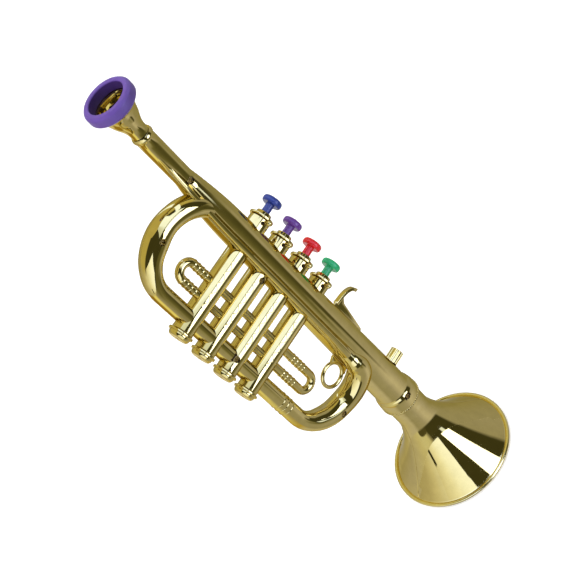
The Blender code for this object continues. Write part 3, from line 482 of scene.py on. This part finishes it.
def loop_line():
    """Places and radii along the loop, from inside the main tube to inside it again."""
    length = upper_bend_z - lower_bend_z
    line = [on_bend(upper_bend, step / 48, upper_bend_z, 1) for step in range(-6, 49)]
    line += [((-loop_drop, 0, z), loop_radius) for z in spaced(upper_bend_z, lower_bend_z, 24)[1:-1]]
    line += [on_bend(lower_bend, turn, lower_bend_z, -1) for turn in spaced(1, 0, 48)]
    return line + [((-drop, -reach, lower_bend_z + length * share), size)
                   for share, drop, reach, size in loop_end]


def rib_at(z):
    """Centre and radius of the slim front tube at a height."""
    share = (z - lower_bend_z) / (upper_bend_z - lower_bend_z)
    drop, reach, size = (through([(row[0], row[column]) for row in front_rib], share) for column in (1, 2, 3))
    return Vector((-drop, -reach)), size


def with_rib(bm, softness=0.95, groove=0.55):
    """Push the main tube out to the slim tube, with a small groove between the two."""
    low, high = (lower_bend_z + (upper_bend_z - lower_bend_z) * front_rib[end][0] for end in (0, -1))
    rows = {}
    for corner in bm.verts:
        z = corner.co.z
        flat = corner.co.xy
        if not low < z < high or flat.length < 1:
            continue
        if round(z, 6) not in rows:
            rows[round(z, 6)] = rib_at(z)
        centre, size = rows[round(z, 6)]
        out = flat.normalized()
        if out.dot(centre) < 0.8 * centre.length:
            continue
        inner, outer = flat.length - groove, centre.length + size + softness
        for halving in range(14):
            reach = (inner + outer) / 2
            apart, beyond = (out * reach - centre).length - size, reach - flat.length
            blend = max(0, softness - abs(apart - beyond)) / softness
            inside = min(apart, beyond) + blend * groove < 0
            inner, outer = (reach, outer) if inside else (inner, reach)
        corner.co.xy = out * inner
    return bm


print("loop of", len(loop_line()), "stations, bend radius", round(bend_radius, 2), "mm")

# %% [markdown]
# ## Valve casings, cross tubes and screws' holes
# Four short tubes stand across the loop, each with a little knob near its rim, and two
# thin tubes join them at the middle. Six screws hold the halves, each at the bottom of a
# round hole that is cut into the front half.

# %% Sizes of the casings and the tubes between them
casing_radius = 6.3
casing_drop = loop_drop + 7.9
casing_rise = main_radius(valve_z[3]) + 4.8
link_radius = 2.5
link_drops = (29.6, 40.1)


def casing(z):
    """One valve casing as a closed solid, with a small rim at each end."""
    corners = [(0, -casing_drop), (casing_radius, -casing_drop, 0.4), (casing_radius, casing_rise, 0.4),
               (0, casing_rise)]
    return turned(corners, 64, toward_buttons(z))


def link(drop, flutes=9, depth=0.4):
    """One thin fluted cross tube through all four casings."""
    low, high = valve_z[0], valve_z[3]
    bm = turned([(0, low), (link_radius, low), (link_radius, high), (0, high)], 112)
    for corner in bm.verts:
        angle = atan2(corner.co.y, corner.co.x)
        if corner.co.xy.length > link_radius / 2:
            corner.co.xy *= 1 - depth / link_radius * (0.5 + 0.5 * cos(flutes * angle))
    bm.transform(Matrix.Translation((-drop, 0, 0)))
    return bm


# %% The knobs on the upper casings
def knob(z):
    """Small ball on a short pin, and beside it a near-black disc of painted shade."""
    ball, pin, reach = 1.65, 0.9, casing_radius + 1.9
    place = toward_back(casing_rise - 0.7, z)
    profile = [(ball * sin(angle), -reach - ball * cos(angle)) for angle in spaced(0, pi, 15)]
    root = -casing_radius + 0.4
    stem = turned([(0, -reach), (pin, -reach), (pin * 1.3, root), (0, root)], 32, place)
    out = Matrix.Translation((casing_rise - 2.6, 0, z)) @ Matrix.Rotation(radians(73), 4, "X")
    low, high, radius = casing_radius - 0.5, casing_radius + 0.08, 1.15
    hole = turned([(0, high), (radius, high), (radius, low), (0, low)], 24, out)
    # The disc beside the knob takes the second, near-black finish: painted shade.
    for face in hole.faces:
        face.material_index = 1
    return add(turned(profile, 32, place), stem, hole)


# %% Where the screws stand
screw_side = bend_radius * 0.96
screw_drop = bend_radius * 0.27
screws = {
    "lead": (0, taper_top_z - 1.7, lead_radius),
    "upper_bend": (bend_x - screw_drop, upper_bend_z + screw_side, 6.8),
    "valve": (-barrel_radius, valve_z[2], casing_radius),
    "lower_run": (-loop_drop, valve_z[1] + 3, casing_radius),
    "lower_bend": (bend_x - screw_drop, lower_bend_z - screw_side, 7.6),
    "collar": (0, collar_top_z - 13.5 * 0.35, collar_radius),
}
recess_radius = 2.45
recess_depth = 2.5


def recesses(*names):
    """Cutters for the holes over some of the screws."""
    cutters = []
    for name in names:
        x, z, surface = screws[name]
        seat = -(surface - recess_depth)
        radius = recess_radius * (0.6 if name == "collar" else 0.82)
        corners = [(0, -surface - 4), (radius, -surface - 4), (radius, seat), (0, seat)]
        cutters.append(turned(corners, 32, toward_back(x, z)))
    return cutters


def painted_shade_in_recesses(bm):
    """Give the walls of the screws' holes the near-black finish, as painted shade."""
    for face in bm.faces:
        middle = face.calc_center_median()
        for x, z, surface in screws.values():
            inside = hypot(middle.x - x, middle.z - z) < recess_radius * 1.01
            if inside and -surface + 0.5 < middle.y < -1:
                face.material_index = 1
    return bm


# %% [markdown]
# ## Small ornaments
# A plain scroll runs down the front of each casing, a row of beads goes round the collar
# and three low rings stand on the loop above its lower bend. They are raised by a few
# tenths of a millimetre, just enough to break the highlights.

# %% Scroll, beads and rings
ring_rises = (12, 16, 20)


def scroll(z, start=14, end=46, turn_length=7, wire=0.24):
    """Fine wavy cord down the front of a casing."""
    line = []
    for drop in spaced(start, end, 96):
        angle = radians(21.5) + 0.17 * sin(2 * pi * (drop - start) / turn_length)
        place = (-drop, -casing_radius * cos(angle), z + casing_radius * sin(angle))
        line.append((place, wire))
    return bent(line, 8)


def beads(side, count=30, size=0.55):
    """Half a row of beads round the collar."""
    z = collar_mouth_z + 1.65
    reach = main_radius(z) - 0.1
    bm = bmesh.new()
    for index in range(count):
        angle = side * pi * (index + 0.5) / count
        place = Matrix.Translation((reach * cos(angle), reach * sin(angle), z))
        bmesh.ops.create_uvsphere(bm, u_segments=12, v_segments=8, radius=size, matrix=place)
    return bm


def loop_ring(z):
    """Low ring round the straight part of the loop."""
    sunk, proud = loop_radius - 0.2, loop_radius + 0.22
    corners = [(0, z - 0.6), (sunk, z - 0.6), (proud, z - 0.25, 0.3), (proud, z + 0.25, 0.3),
               (sunk, z + 0.6), (0, z + 0.6)]
    return turned(corners, 64, Matrix.Translation((-loop_drop, 0, 0)))


print("scroll of", len(scroll(valve_z[0]).faces), "faces on each casing")

# %% [markdown]
# ## The two body halves
# The front half has the knobs and the screw holes, the back half is plain. Every part is
# halved first and then put into one mesh, where the parts run into each other.

# %% Build both halves
def body_half(side):
    """All that one half of the moulding holds; side is -1 for the front."""
    tube, loop = half_of(with_rib(main_tube()), side), half_of(bent(loop_line(), 56), side)
    casings = [half_of(casing(z), side) for z in valve_z]
    others = [half_of(link(drop), side) for drop in link_drops]
    others += [half_of(loop_ring(lower_bend_z + rise), side) for rise in ring_rises] + [beads(side)]
    if side < 0:
        tube = carved(tube, recesses("lead", "valve", "collar"))
        loop = carved(loop, recesses("upper_bend", "lower_run", "lower_bend"))
        casings[2] = carved(casings[2], recesses("valve"))
        casings[1] = carved(casings[1], recesses("lower_run"))
        for z in valve_z:
            others += [knob(z), scroll(z)]
    return add(bmesh.new(), tube, loop, *casings, *others)


# The front half's second finish is the near-black painted shade in the screw holes and beside the knobs.
piece("front_half", painted_shade_in_recesses(body_half(-1)), gold, ["front_body_shell"], second=painted_shade_plastic)
piece("back_half", body_half(1), gold, ["back_body_shell"])

# %% [markdown]
# ## The bell
# A turned flare with a rolled rim. It is the largest mirror on the trumpet, so its
# outline is sampled closely: the reflection of the studio bends smoothly round it.

# %% Turn the bell
rim_radius = 41.6
neck_radius = 11.8
bore_radius = 8.7
flare_height = 54


def flare(height, rim, neck):
    """Radius of the flare at a height over the rim."""
    share = max(0, 1 - height / flare_height)
    return neck + (rim - neck) * share ** 1.62


def bell_surface(height):
    """Outside radius of the flare, drawn in a little just over the rim."""
    return flare(height, rim_radius, neck_radius) - 0.5 * max(0, 1 - height / 9)


def bell():
    """Closed wall of the bell, outside and inside."""
    roll = 1.25
    profile = []
    for degrees in spaced(-100, 140, 19):
        angle = radians(degrees)
        profile.append((rim_radius - roll + roll * cos(angle), roll + roll * sin(angle)))
    low = flare_height * 3.6 / 72.6
    profile += [(bell_surface(height), height) for height in spaced(low, flare_height, 69)]
    end = collar_mouth_z + 5.4
    profile += [(neck_radius, collar_mouth_z - 0.5), (neck_radius - 0.3, collar_mouth_z - 0.3),
                (10.2, collar_mouth_z - 0.3), (10.2, end), (bore_radius, end)]
    profile += [(flare(height, rim_radius - 2.2, bore_radius), height + 0.15)
                for height in spaced(flare_height, 0, 72)]
    return turned(profile, 160, closed=True)


def bell_seam(side):
    """Fine raised line that the mould left down one side of the bell."""
    low, wire = 3.2, 0.24
    return bent([((side * bell_surface(z), 0, z), wire) for z in spaced(low, flare_height, 48)], 8)


bell_bm = add(bell(), bell_seam(-1), bell_seam(1))
# Faces of the rolled rim take the brighter gold, a painted highlight.
for face in bell_bm.faces:
    middle = face.calc_center_median()
    face.material_index = int(middle.z < 2.8 and middle.xy.length > rim_radius - 3)
piece("bell_flare", bell_bm, gold, ["bell"], second=rim_painted_highlight_gold)

# %% [markdown]
# ## The mouthpiece
# A purple plastic ring is pushed over a gold cup. Inside the cup lies a pierced disc.

# %% The ring
ring_radius, ring_front, ring_back, ring_hole = 14.3, 12.9, 12.4, 10.5
ring_back_z = face_z - 8
ring_seat_z = face_z - 6
corners = [(ring_hole, ring_seat_z), (ring_hole, face_z, 0.9), (ring_front, face_z, 0.5),
           (ring_radius, face_z - 1.6, 0.7), (ring_radius, ring_back_z + 1.8, 0.9),
           (ring_back, ring_back_z, 0.7), (ring_back - 1, ring_back_z, 0.2),
           (ring_back - 1, ring_seat_z)]
ring_bm = turned(corners, 128, closed=True, curve=6)
# Faces inside the ring's hole, below its face, take the darker purple as painted shade.
for face in ring_bm.faces:
    middle = face.calc_center_median()
    face.material_index = int(middle.xy.length < ring_hole + 0.05 and middle.z < face_z - 1)
piece("mouth_ring", ring_bm, ring_purple, ["mouthpiece_ring"], second=ring_painted_shade)

# %% The cup
cup_top = ring_seat_z - 0.3
cup_rim = ring_back - 1.3
cup_neck = 5.05
cup_bottom = body_top_z + 0.3
horn_top = cup_top - 2.2
horn = [(0, 1), (0.03, 0.92), (0.18, 0.7), (0.28, 0.6), (0.41, 0.47), (0.54, 0.29), (0.64, 0.16),
        (0.74, 0.06), (0.89, 0), (1, 0)]
throat = [(0, 1), (0.2, 0.88), (0.42, 0.6), (0.62, 0.3), (0.8, 0.05), (0.9, 0)]
ledge = cup_top - 3.9


def cup():
    """Closed wall of the cup with the seat for the disc."""
    profile = [(9.6, cup_top), (cup_rim, cup_top), (cup_rim, horn_top)]
    for share in spaced(0, 1, 40)[1:]:
        profile.append((cup_neck + (cup_rim - cup_neck) * through(horn, share),
                        horn_top + (cup_bottom - horn_top) * share))
    spigot, bore = lead_radius - 2, 2.2
    profile += [(spigot, cup_bottom), (spigot, cup_bottom - 11), (bore, cup_bottom - 11)]
    for share in spaced(0.9, 0, 32):
        profile.append((bore + 5.5 * through(throat, share), ledge + (cup_bottom - ledge) * share))
    profile += [(8.6, ledge), (8.6, ledge + 1)]
    return turned(profile, 96, closed=True)


piece("cup_horn", cup(), gold, ["mouthpiece_cup"])

# %% [markdown]
# ## Caps and buttons
# Each casing has a cap in two steps at the top and a turned foot at the bottom with a
# small hole. The button's stem slides through the top cap.

# %% Top caps
def top_cap(z):
    """Wide flange with a raised crown round the stem."""
    low = casing_rise + 0.3
    wide, crown = casing_radius + 1, 4.4
    hole, step, top = 2.7, low + 1.5, low + 3.9
    corners = [(hole, low), (wide, low, 0.45), (wide, step, 0.45), (crown + 0.2, step, 0.15),
               (crown, top, 0.5), (hole, top, 0.2), (hole, low + 1)]
    return turned(corners, 64, toward_buttons(z), closed=True, curve=5)


for name, z in zip(valve_names, valve_z):
    piece("cap_" + name, top_cap(z), gold, ["valve_top_cap_" + name])

# %% Foot caps
def foot_cap(z):
    """Flange and tapered foot with a small centre hole."""
    high = -casing_drop - 0.3
    flange = high - 1.3
    low = flange - 2.5
    hole, wide, body = 0.9, casing_radius + 1.2, casing_radius + 0.1
    corners = [(hole, low + 1.2), (hole, low, 0.2), (body - 0.9, low, 0.5), (body, low + 1.3, 0.5),
               (body, flange, 0.15), (wide, flange, 0.4), (wide, high, 0.4), (hole, high)]
    return turned(corners, 64, toward_buttons(z), closed=True, curve=5)


for name, z in zip(valve_names, valve_z):
    piece("foot_" + name, foot_cap(z), gold, ["valve_foot_cap_" + name])

# %% Buttons
def button(z):
    """Round button on its stem, down to the pad's seat inside."""
    low = casing_rise + 9.9
    high = low + 3.7
    flange = casing_rise - 1.2
    rod, stem, wide = 1.2, 2.4, 5.75
    corners = [(0, 0.4), (rod, 0.4), (rod, flange - 1.1), (4, flange - 1.1, 0.1), (4, flange, 0.1),
               (stem, flange), (stem, low, 0.3), (5.2, low, 0.4), (wide, low + 0.9, 0.6),
               (wide, high - 0.9, 0.9), (4.9, high, 0.6), (0, high)]
    return turned(corners, 64, toward_buttons(z), curve=6)


for name, z in zip(valve_names, valve_z):
    part = "button_" + name
    piece(part, button(z), button_finishes[name], ["valve_" + part], body=part)

# %% [markdown]
# ## Side slides, finger ring, hook and socket
# Thin parts that stand off the tubes. The slides are small ribbed U tubes, the ring and
# the hook hang on flat webs, and the socket is a short fluted stub.

# %% Side slides
slide_radius = 2.6
leg_start = 4
rib_pitch, rib_half, rib_rise = 3.6, 0.55, 0.3


def side_slide(valve, direction, reach, rib_start):
    """Ribbed U of thin tube beside a casing."""
    high_x, low_x = (-drop for drop in link_drops)
    turn = (high_x - low_x) / 2
    leg = []
    for place in spaced(leg_start, reach, 180):
        rib = max(0, *(1 - abs(place - rib_start - rib_pitch * count) / rib_half for count in range(4)))
        leg.append((place, slide_radius + rib_rise * sqrt(rib)))
    line = [((high_x, 0, valve + direction * place), radius) for place, radius in leg]
    for angle in spaced(0, pi, 24)[1:-1]:
        z = valve + direction * (reach + turn * sin(angle))
        line.append(((low_x + turn + turn * cos(angle), 0, z), slide_radius))
    line += [((low_x, 0, valve + direction * place), radius) for place, radius in reversed(leg)]
    return bent(line, 28)


piece("upper_slide", side_slide(valve_z[3], 1, 20.2, 9.7), gold, ["upper_side_slide"])
piece("lower_slide", side_slide(valve_z[0], -1, 34.5, 15), gold, ["lower_side_slide"])

# %% Flat webs
def web(outline, half, soft=0.25):
    """Flat plate of (x, z) corners with small rounded edges."""
    bm = bmesh.new()
    face = bm.faces.new([bm.verts.new((x, -half, z)) for x, z in outline])
    grown = bmesh.ops.extrude_face_region(bm, geom=[face])
    moved = [part for part in grown["geom"] if isinstance(part, bmesh.types.BMVert)]
    bmesh.ops.translate(bm, verts=moved, vec=(0, 2 * half, 0))
    bmesh.ops.recalc_face_normals(bm, faces=bm.faces[:])
    sharp = [edge for edge in bm.edges if edge.calc_face_angle(0) > radians(40)]
    bmesh.ops.bevel(bm, geom=sharp, affect="EDGES", offset=soft, segments=3, profile=0.5, material=-1)
    return bm


# %% Finger ring
ring_middle = lower_bend_z - 5.5
ring_x = -main_radius(ring_middle) - 9.4


def finger_ring():
    """Ring of round wire and the web that carries it."""
    wire, radius = 1.2, 7.55

    def on_ring(degrees):
        angle = radians(degrees)
        return ring_x + radius * cos(angle), ring_middle + radius * sin(angle)

    line = [((on_ring(degrees)[0], 0, on_ring(degrees)[1]), wire) for degrees in range(0, 360, 5)]
    high, low = ring_middle + 8.5, ring_middle - 6.5
    side_high, side_low = -main_radius(high), -main_radius(low)
    outline = [(side_high - 0.3, high), (side_low - 0.3, low), (side_low - 3.4, low - 1.2)]
    outline += [on_ring(degrees) for degrees in range(-60, 61, 10)] + [(side_high - 1.7, high)]
    return add(bent(line, 20, closed=True), web(outline, 0.8, 0.12))


piece("little_finger_ring", finger_ring(), gold, ["finger_ring"])

# %% Finger hook
hook_z = valve_z[0] - 20.4
hook_base = main_radius(hook_z)


def hook():
    """Curled lip over a long web."""
    shares = [(0, 0.09), (0.05, 0.35), (0.13, 0.6), (0.33, 0.82), (0.62, 0.95), (1, 1)]
    line = [Vector((hook_base + 15.9 * through(shares, place), hook_z - 7.1 * place))
            for place in spaced(0, 1, 32)]
    near, far = [], []
    for index, place in enumerate(line):
        way = line[min(index + 1, 32)] - line[max(index - 1, 0)]
        across = Vector((-way.y, way.x)).normalized()
        near.append(place + across)
        far.append(place - across)
    lip = web(near + far[::-1], 1.7, 0.3)
    end = hook_z - 28
    foot = main_radius(end)
    outline = [(hook_base + 0.3, hook_z + 1), (foot + 0.3, end - 1), (foot + 1.4, end),
               (hook_base + 5, hook_z - 5.2), (hook_base + 8.2, hook_z - 1), (hook_base + 8.2, hook_z),
               (hook_base + 1.4, hook_z + 1)]
    return add(lip, web(outline, 0.8, 0.12))


piece("hook", hook(), gold, ["finger_hook"])

# %% Lyre socket
def socket():
    """Round stub with flutes cut down its side."""
    z = collar_top_z + 12
    surface = main_radius(z)
    stands = toward_buttons(z)
    radius, low, high = 4.25, surface - 0.2, surface + 8.1
    stub = turned([(0, low), (radius, low), (radius, high, 0.4), (0, high)], 72, stands)
    flute = [(0, surface), (0.5, surface), (0.5, surface + 9), (0, surface + 9)]
    flutes = []
    for step in range(12):
        turn = Matrix.Rotation(2 * pi * step / 12, 4, "Z") @ Matrix.Translation((radius + 0.05, 0, 0))
        flutes.append(turned(flute, 12, stands @ turn))
    return carved(stub, flutes)


piece("fluted_socket", socket(), gold, ["lyre_socket"])

# %% [markdown]
# ## Pieces kept from the engineering model
# The screws, springs, pads, reeds, their block and deck, and the pierced disc have the
# right shape already, so only their finish changes.

# %% New finishes for the pieces that stay
kept = {
    "screw_": screw_metal, "valve_spring_": spring_wire, "valve_pad_": pad_rubber, "reed_": reed_metal,
    "reed_deck": chest_plastic, "reed_block": chest_plastic, "mouthpiece_grille": gold,
}
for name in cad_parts:
    choices = [key for key in kept if name.startswith(key)]
    if choices:
        finish = kept[max(choices, key=len)]
        for place in bpy.data.objects[name].material_slots:
            place.material = finish
        print(name, "gets", finish.name)

# %% [markdown]
# ## Studio
# A plain pale floor, a soft lamp overhead and one to the left, and a pale world. The
# camera stands where the photographer stood.

# %% Camera
camera_data = bpy.data.cameras.new("camera")
camera_data.sensor_width = 36
camera_data.lens = 88.8
camera_data.clip_start = 10 * mm
camera = placed("camera", camera_data)
bpy.context.scene.camera = camera
right = Vector((0.5501, -0.6446, -0.5309)).normalized()
forward = Vector((0.215, 0.7236, -0.6559)).normalized()
up = right.cross(forward).normalized()
forward = up.cross(right).normalized()
place = Matrix((right, up, -forward)).transposed().to_4x4()
place.translation = Vector((axis_x - 173.2, -576.3, 721.7)) * mm
camera.matrix_world = place
print("camera looks along", [round(part, 3) for part in forward])

# %% Floor
def disc(radius, height):
    """Flat round sheet at a height."""
    bm = bmesh.new()
    bmesh.ops.create_circle(bm, cap_ends=True, segments=128, radius=radius,
                            matrix=Matrix.Translation((0, 0, height)))
    return bm


def staged(name, bm, finish):
    """Stage object for a mesh in metres."""
    made = solid(name, bm)
    made.data.materials.append(finish)
    return made


def empty_material(name):
    """Material with no nodes yet."""
    made = bpy.data.materials.new(name)
    made.use_nodes = True
    made.node_tree.nodes.clear()
    return made


def seen_strength(tree, shown, rest):
    """One strength for rays from the camera, a mirror or glass, another for the rest."""
    rays = node(tree, "LightPath").outputs
    seen = calc(tree, "ADD", rays["Is Camera Ray"], rays["Is Glossy Ray"])
    seen = calc(tree, "ADD", seen, rays["Is Transmission Ray"])
    return calc(tree, "MULTIPLY_ADD", seen, shown - rest, rest)


floor_finish = empty_material("floor_paper")
tree = floor_finish.node_tree
paper = node(tree, "BsdfDiffuse", {"Color": (0.8, 0.8, 0.8, 1)}).outputs[0]
glow = node(tree, "Emission", {"Color": (1, 1, 1, 1), "Strength": seen_strength(tree, 0.42, 0)}).outputs[0]
both = node(tree, "AddShader", {0: paper, 1: glow}).outputs[0]
node(tree, "OutputMaterial", {"Surface": both})
staged("floor", disc(6, -0.5 * mm), floor_finish)

# %% [markdown]
# A mirror shows whatever stands round it. Photographers of gold therefore close it in
# with grey and black card and leave openings for the lamps: the grey keeps the colour of
# the gold, the black draws its outline, and each opening makes one clean highlight. The
# cards here are seen by mirror rays only, so they never shade the trumpet or the floor.

# %% Bearings round the trumpet
toward_right = Vector((0.96, -0.28, 0)).normalized()
toward_camera = Vector((-0.285, -0.958, 0)).normalized()


def at_bearing(degrees):
    """Level direction at a bearing, counted from the camera's side to the right."""
    angle = radians(degrees)
    return toward_camera * cos(angle) + toward_right * sin(angle)


def object_place(tree):
    """Place on the stage, in metres from the trumpet's foot."""
    return node(tree, "TexCoord").outputs["Object"]


def vector_calc(tree, operation, first, second, output="Value"):
    """Result of a vector math node."""
    return node(tree, "VectorMath", {0: first, 1: second}, operation=operation).outputs[output]


def bearing_of(tree):
    """Bearing as a share of the full turn, 0.5 toward the camera, and the distance from the foot."""
    flat = vector_calc(tree, "MULTIPLY", object_place(tree), (1, 1, 0), "Vector")
    across = vector_calc(tree, "DOT_PRODUCT", flat, tuple(toward_right))
    ahead = vector_calc(tree, "DOT_PRODUCT", flat, tuple(toward_camera))
    angle = calc(tree, "ARCTAN2", across, ahead)
    share = calc(tree, "MULTIPLY_ADD", angle, 1 / (2 * pi), 0.5)
    return share, vector_calc(tree, "LENGTH", flat, (0, 0, 0))


def by_bearing(tree, bearing, stops):
    """Colour by bearing, from (degrees, percent or colour) stops; the darker a grey, the warmer it is."""
    places = []
    for degrees, level in stops:
        if not isinstance(level, tuple):
            level = level / 100
            level = (level, level * 0.98, level * min(1, 0.38 + 2.6 * level ** 2))
        places.append(((degrees + 180) / 360, level))
    return ramp(tree, bearing, places)


# %% Card that only mirror rays can see
def card_finish(name, colour):
    """Material that glows with a colour or a node's colour, and nothing else."""
    made = empty_material(name)
    tree = made.node_tree
    value = colour(tree) if callable(colour) else (*colour, 1)
    glow = node(tree, "Emission", {"Color": value, "Strength": 1}).outputs[0]
    node(tree, "OutputMaterial", {"Surface": glow})
    return made


def card(name, bm, colour):
    """Stage object that is hidden from all but mirror rays."""
    made = staged(name, bm, card_finish(name, colour))
    for rays in ("camera", "diffuse", "transmission", "volume_scatter", "shadow"):
        setattr(made, "visible_" + rays, False)


# %% Levels of the wall
warm = (0.62, 0.55, 0.22)
grey = (0.44, 0.43, 0.36)


def wall_levels(tree):
    """Black card on the camera's side, pale cloth on its left, grey card behind, warm card higher up."""
    bearing = bearing_of(tree)[0]
    low = by_bearing(tree, bearing, [
        (-180, grey), (-120, (0.5, 0.47, 0.34)), (-90, (0.62, 0.59, 0.44)), (-75, (0.82, 0.8, 0.66)),
        (-62, (0.95, 0.97, 0.95)), (-58, (0.9, 0.9, 0.8)), (-56, 6), (70, 6), (76, 42), (120, 46),
        (180, grey)])
    high = by_bearing(tree, bearing, [(-180, warm), (-75, warm), (-66, 6), (72, 6), (80, warm), (180, warm)])
    height = node(tree, "SeparateXYZ", {"Vector": object_place(tree)}).outputs["Z"]
    return mix(tree, remap(tree, height, 0.42, 0.6), low, high)


# %% Levels of the ground, ring by ring
rich, orange, bright = (0.64, 0.5, 0.1), (0.42, 0.28, 0.04), (1.08, 1.03, 0.5)
left_side = [(-180, 42), (-160, 95), (-142, 95), (-130, orange), (-94, orange), (-82, bright),
             (-66, bright)]
ground_rings = [
    (0.117, [(-180, 42), (-120, 72), (-62, 64), (-41, 41), (-10, 44), (5, 47), (20, 59), (35, 69),
        (51, 64), (69, 53), (88, 45), (111, 39), (180, 40)]),
    (0.156, [(-180, 42), (-150, 80), (-120, rich), (-52, rich), (-40, 42), (0, 42), (21, 42), (38, 46),
        (43, 13), (50, 13), (55, 48), (69, 46), (88, 46), (115, 38), (180, 40)]),
    (0.206, [(-180, 42), (-150, 95), (-90, (0.95, 0.92, 0.55)), (-50, 43), (-10, 40), (0, 36), (5, 30),
        (14, 18), (19, 18), (26, 38), (31, 38), (37, 10), (50, 9), (57, 50), (70, 45), (88, 42),
        (180, 40)]),
    (0.25, left_side + [(-53, 44), (-10, 42), (0, 34), (5, 24), (16, 17), (27, 14.5), (38, 10), (51, 9.5),
        (57, 50), (66, 52), (76, 38), (180, 42)]),
    (0.31, left_side + [(-53, 46), (-10, 34), (5, 19), (22, 13), (42, 8.5), (52, 10), (60, 48), (68, 50),
        (83, 38), (180, 42)]),
    (0.42, left_side + [(-53, 46), (-20, 20), (7, 15), (25, 11), (46, 9), (56, 12), (64, 40), (73, 46),
        (90, 36), (180, 42)]),
    (0.61, left_side + [(-53, 44), (-21, 16.5), (10, 9.5), (42, 12), (80, 29), (128, 40), (180, 42)]),
]
pale_side = [(-180, 42), (-120, 55), (-75, (0.74, 0.72, 0.55)), (-60, (0.8, 0.8, 0.66)),
             (-36, (0.78, 0.78, 0.62)), (-28, 38)]
lane_light = (1.1, 1.3, 1.9)
spot_place = at_bearing(-37) * 0.125
spot_colour = (0.1, 0.092, 0.04, 1)


def ground_levels(tree):
    """Grey near the trumpet, darker further out; seen at a slant it is as dark as the wall behind."""
    bearing, length = bearing_of(tree)
    shallow = by_bearing(tree, bearing, pale_side + [(-20, 7), (66, 6), (74, 42), (180, 42)])
    lane = by_bearing(tree, bearing, pale_side + [(-20, 6), (22, 6), (24, lane_light), (34, lane_light),
                                                  (36, 6), (66, 6), (74, 42)])
    shallow = mix(tree, remap(tree, length, 0.29, 0.31), shallow, lane)
    away = vector_calc(tree, "DISTANCE", object_place(tree), tuple(spot_place))
    shallow = mix(tree, remap(tree, away, 0.042, 0.05), spot_colour, shallow)
    inner, steep = ground_rings[0][0], by_bearing(tree, bearing, ground_rings[0][1])
    for distance, stops in ground_rings[1:]:
        steep = mix(tree, remap(tree, length, inner, distance), steep, by_bearing(tree, bearing, stops))
        inner = distance
    slant = node(tree, "LayerWeight", {"Blend": 0.5}).outputs["Facing"]
    return mix(tree, remap(tree, slant, 0.54, 0.59), steep, shallow)


# %% Cards round the trumpet
card_reach, ceiling_z = 0.8, 2.2
wall_bm = bmesh.new()
bmesh.ops.create_cone(wall_bm, cap_ends=False, segments=128, radius1=card_reach, radius2=card_reach,
                      depth=ceiling_z, matrix=Matrix.Translation((0, 0, ceiling_z / 2)))
card("ground_card", disc(card_reach, -0.2 * mm), ground_levels)
card("ceiling_card", disc(card_reach, ceiling_z), warm)
card("wall_card", wall_bm, wall_levels)
print("cards reach", card_reach, "m out and", ceiling_z, "m up")


# %% Openings for the lamps
def opening(name, low, high, stops, distance=0.75):
    """Upright panel that glows; low and high are (height, bearing, bearing) of its two ends."""
    bm = bmesh.new()
    bmesh.ops.create_grid(bm, x_segments=1, y_segments=1, size=1)
    for corner in bm.verts:
        height, left, right_end = high if corner.co.y > 0 else low
        out = at_bearing(right_end if corner.co.x > 0 else left)
        corner.co = out * distance + Vector((axis_x * mm, 0, height))
    card(name, bm, lambda tree: by_bearing(tree, bearing_of(tree)[0], stops))
    print(name, "from", low[0], "to", high[0], "m")


cream = (1.39, 1.66, 2.54)
right_stops = [(9, (0.85, 0.97, 1.15)), (17, (1, 1.15, 1.5)), (25, cream)]
left_stops = [(-62, (0.9, 0.9, 0.8)), (-45, (1.18, 1.24, 1.3)), (-30, (1.36, 1.5, 1.9)),
              (-15, (1.45, 1.62, 2.2))]
opening("right_opening", (0, 12, 44), (0.43, 16, 46), [(0, (4, 4.4, 6))])
opening("right_middle_opening", (0.43, 20, 40), (0.55, 20, 40), [(0, (1.35, 1.6, 2.8))])
opening("right_upper_opening", (0.58, 4, 52), (1.25, 4, 52), right_stops)
opening("right_top_opening", (1.25, 4, 52), (2.15, 4, 85), right_stops)
opening("left_opening", (0, -62, -5), (0.56, -62, -19), left_stops)
opening("left_flag", (0, -63.5, -57), (0.12, -60.5, -55.5), [(0, 5)], distance=0.7)

# %% A small panel over the valves' heads
panel_bm = bmesh.new()
bmesh.ops.create_grid(panel_bm, x_segments=1, y_segments=1, size=1,
                      matrix=Matrix.Translation((0.082, 0.09, 0.4)) @ Matrix.Diagonal((0.015, 0.21, 1, 1)))
card("valve_opening", panel_bm, cream)

# %% World
world = bpy.data.worlds.new("studio")
bpy.context.scene.world = world
world.use_nodes = True
tree = world.node_tree
tree.nodes.clear()
sky = node(tree, "Background", {"Color": (1, 1, 1, 1), "Strength": seen_strength(tree, 1, 0.55)})
node(tree, "OutputWorld", {"Surface": sky.outputs[0]})

# %% Lamps
def lamp(name, place, size, power, aim=(0, 0, 0.2)):
    """Square area lamp at a place, turned to a point."""
    data = bpy.data.lights.new(name, "AREA")
    data.shape = "SQUARE"
    data.size = size
    data.energy = power
    made = placed(name, data)
    made.location = place
    made.rotation_mode = "QUATERNION"
    made.rotation_quaternion = (Vector(aim) - Vector(place)).to_track_quat("-Z", "Y")
    made.visible_glossy = False


lamp("overhead", (0.1, 0.3, 1.6), 0.9, 12)
lamp("left", (-1.3, -0.3, 0.9), 0.8, 8)
print("lamps", [data.name for data in bpy.data.lights])

# %% [markdown]
# ## Closing
# The colours are shown through the Standard view transform.

# %% Finish with the Standard view transform
bpy.context.scene.view_settings.view_transform = "Standard"
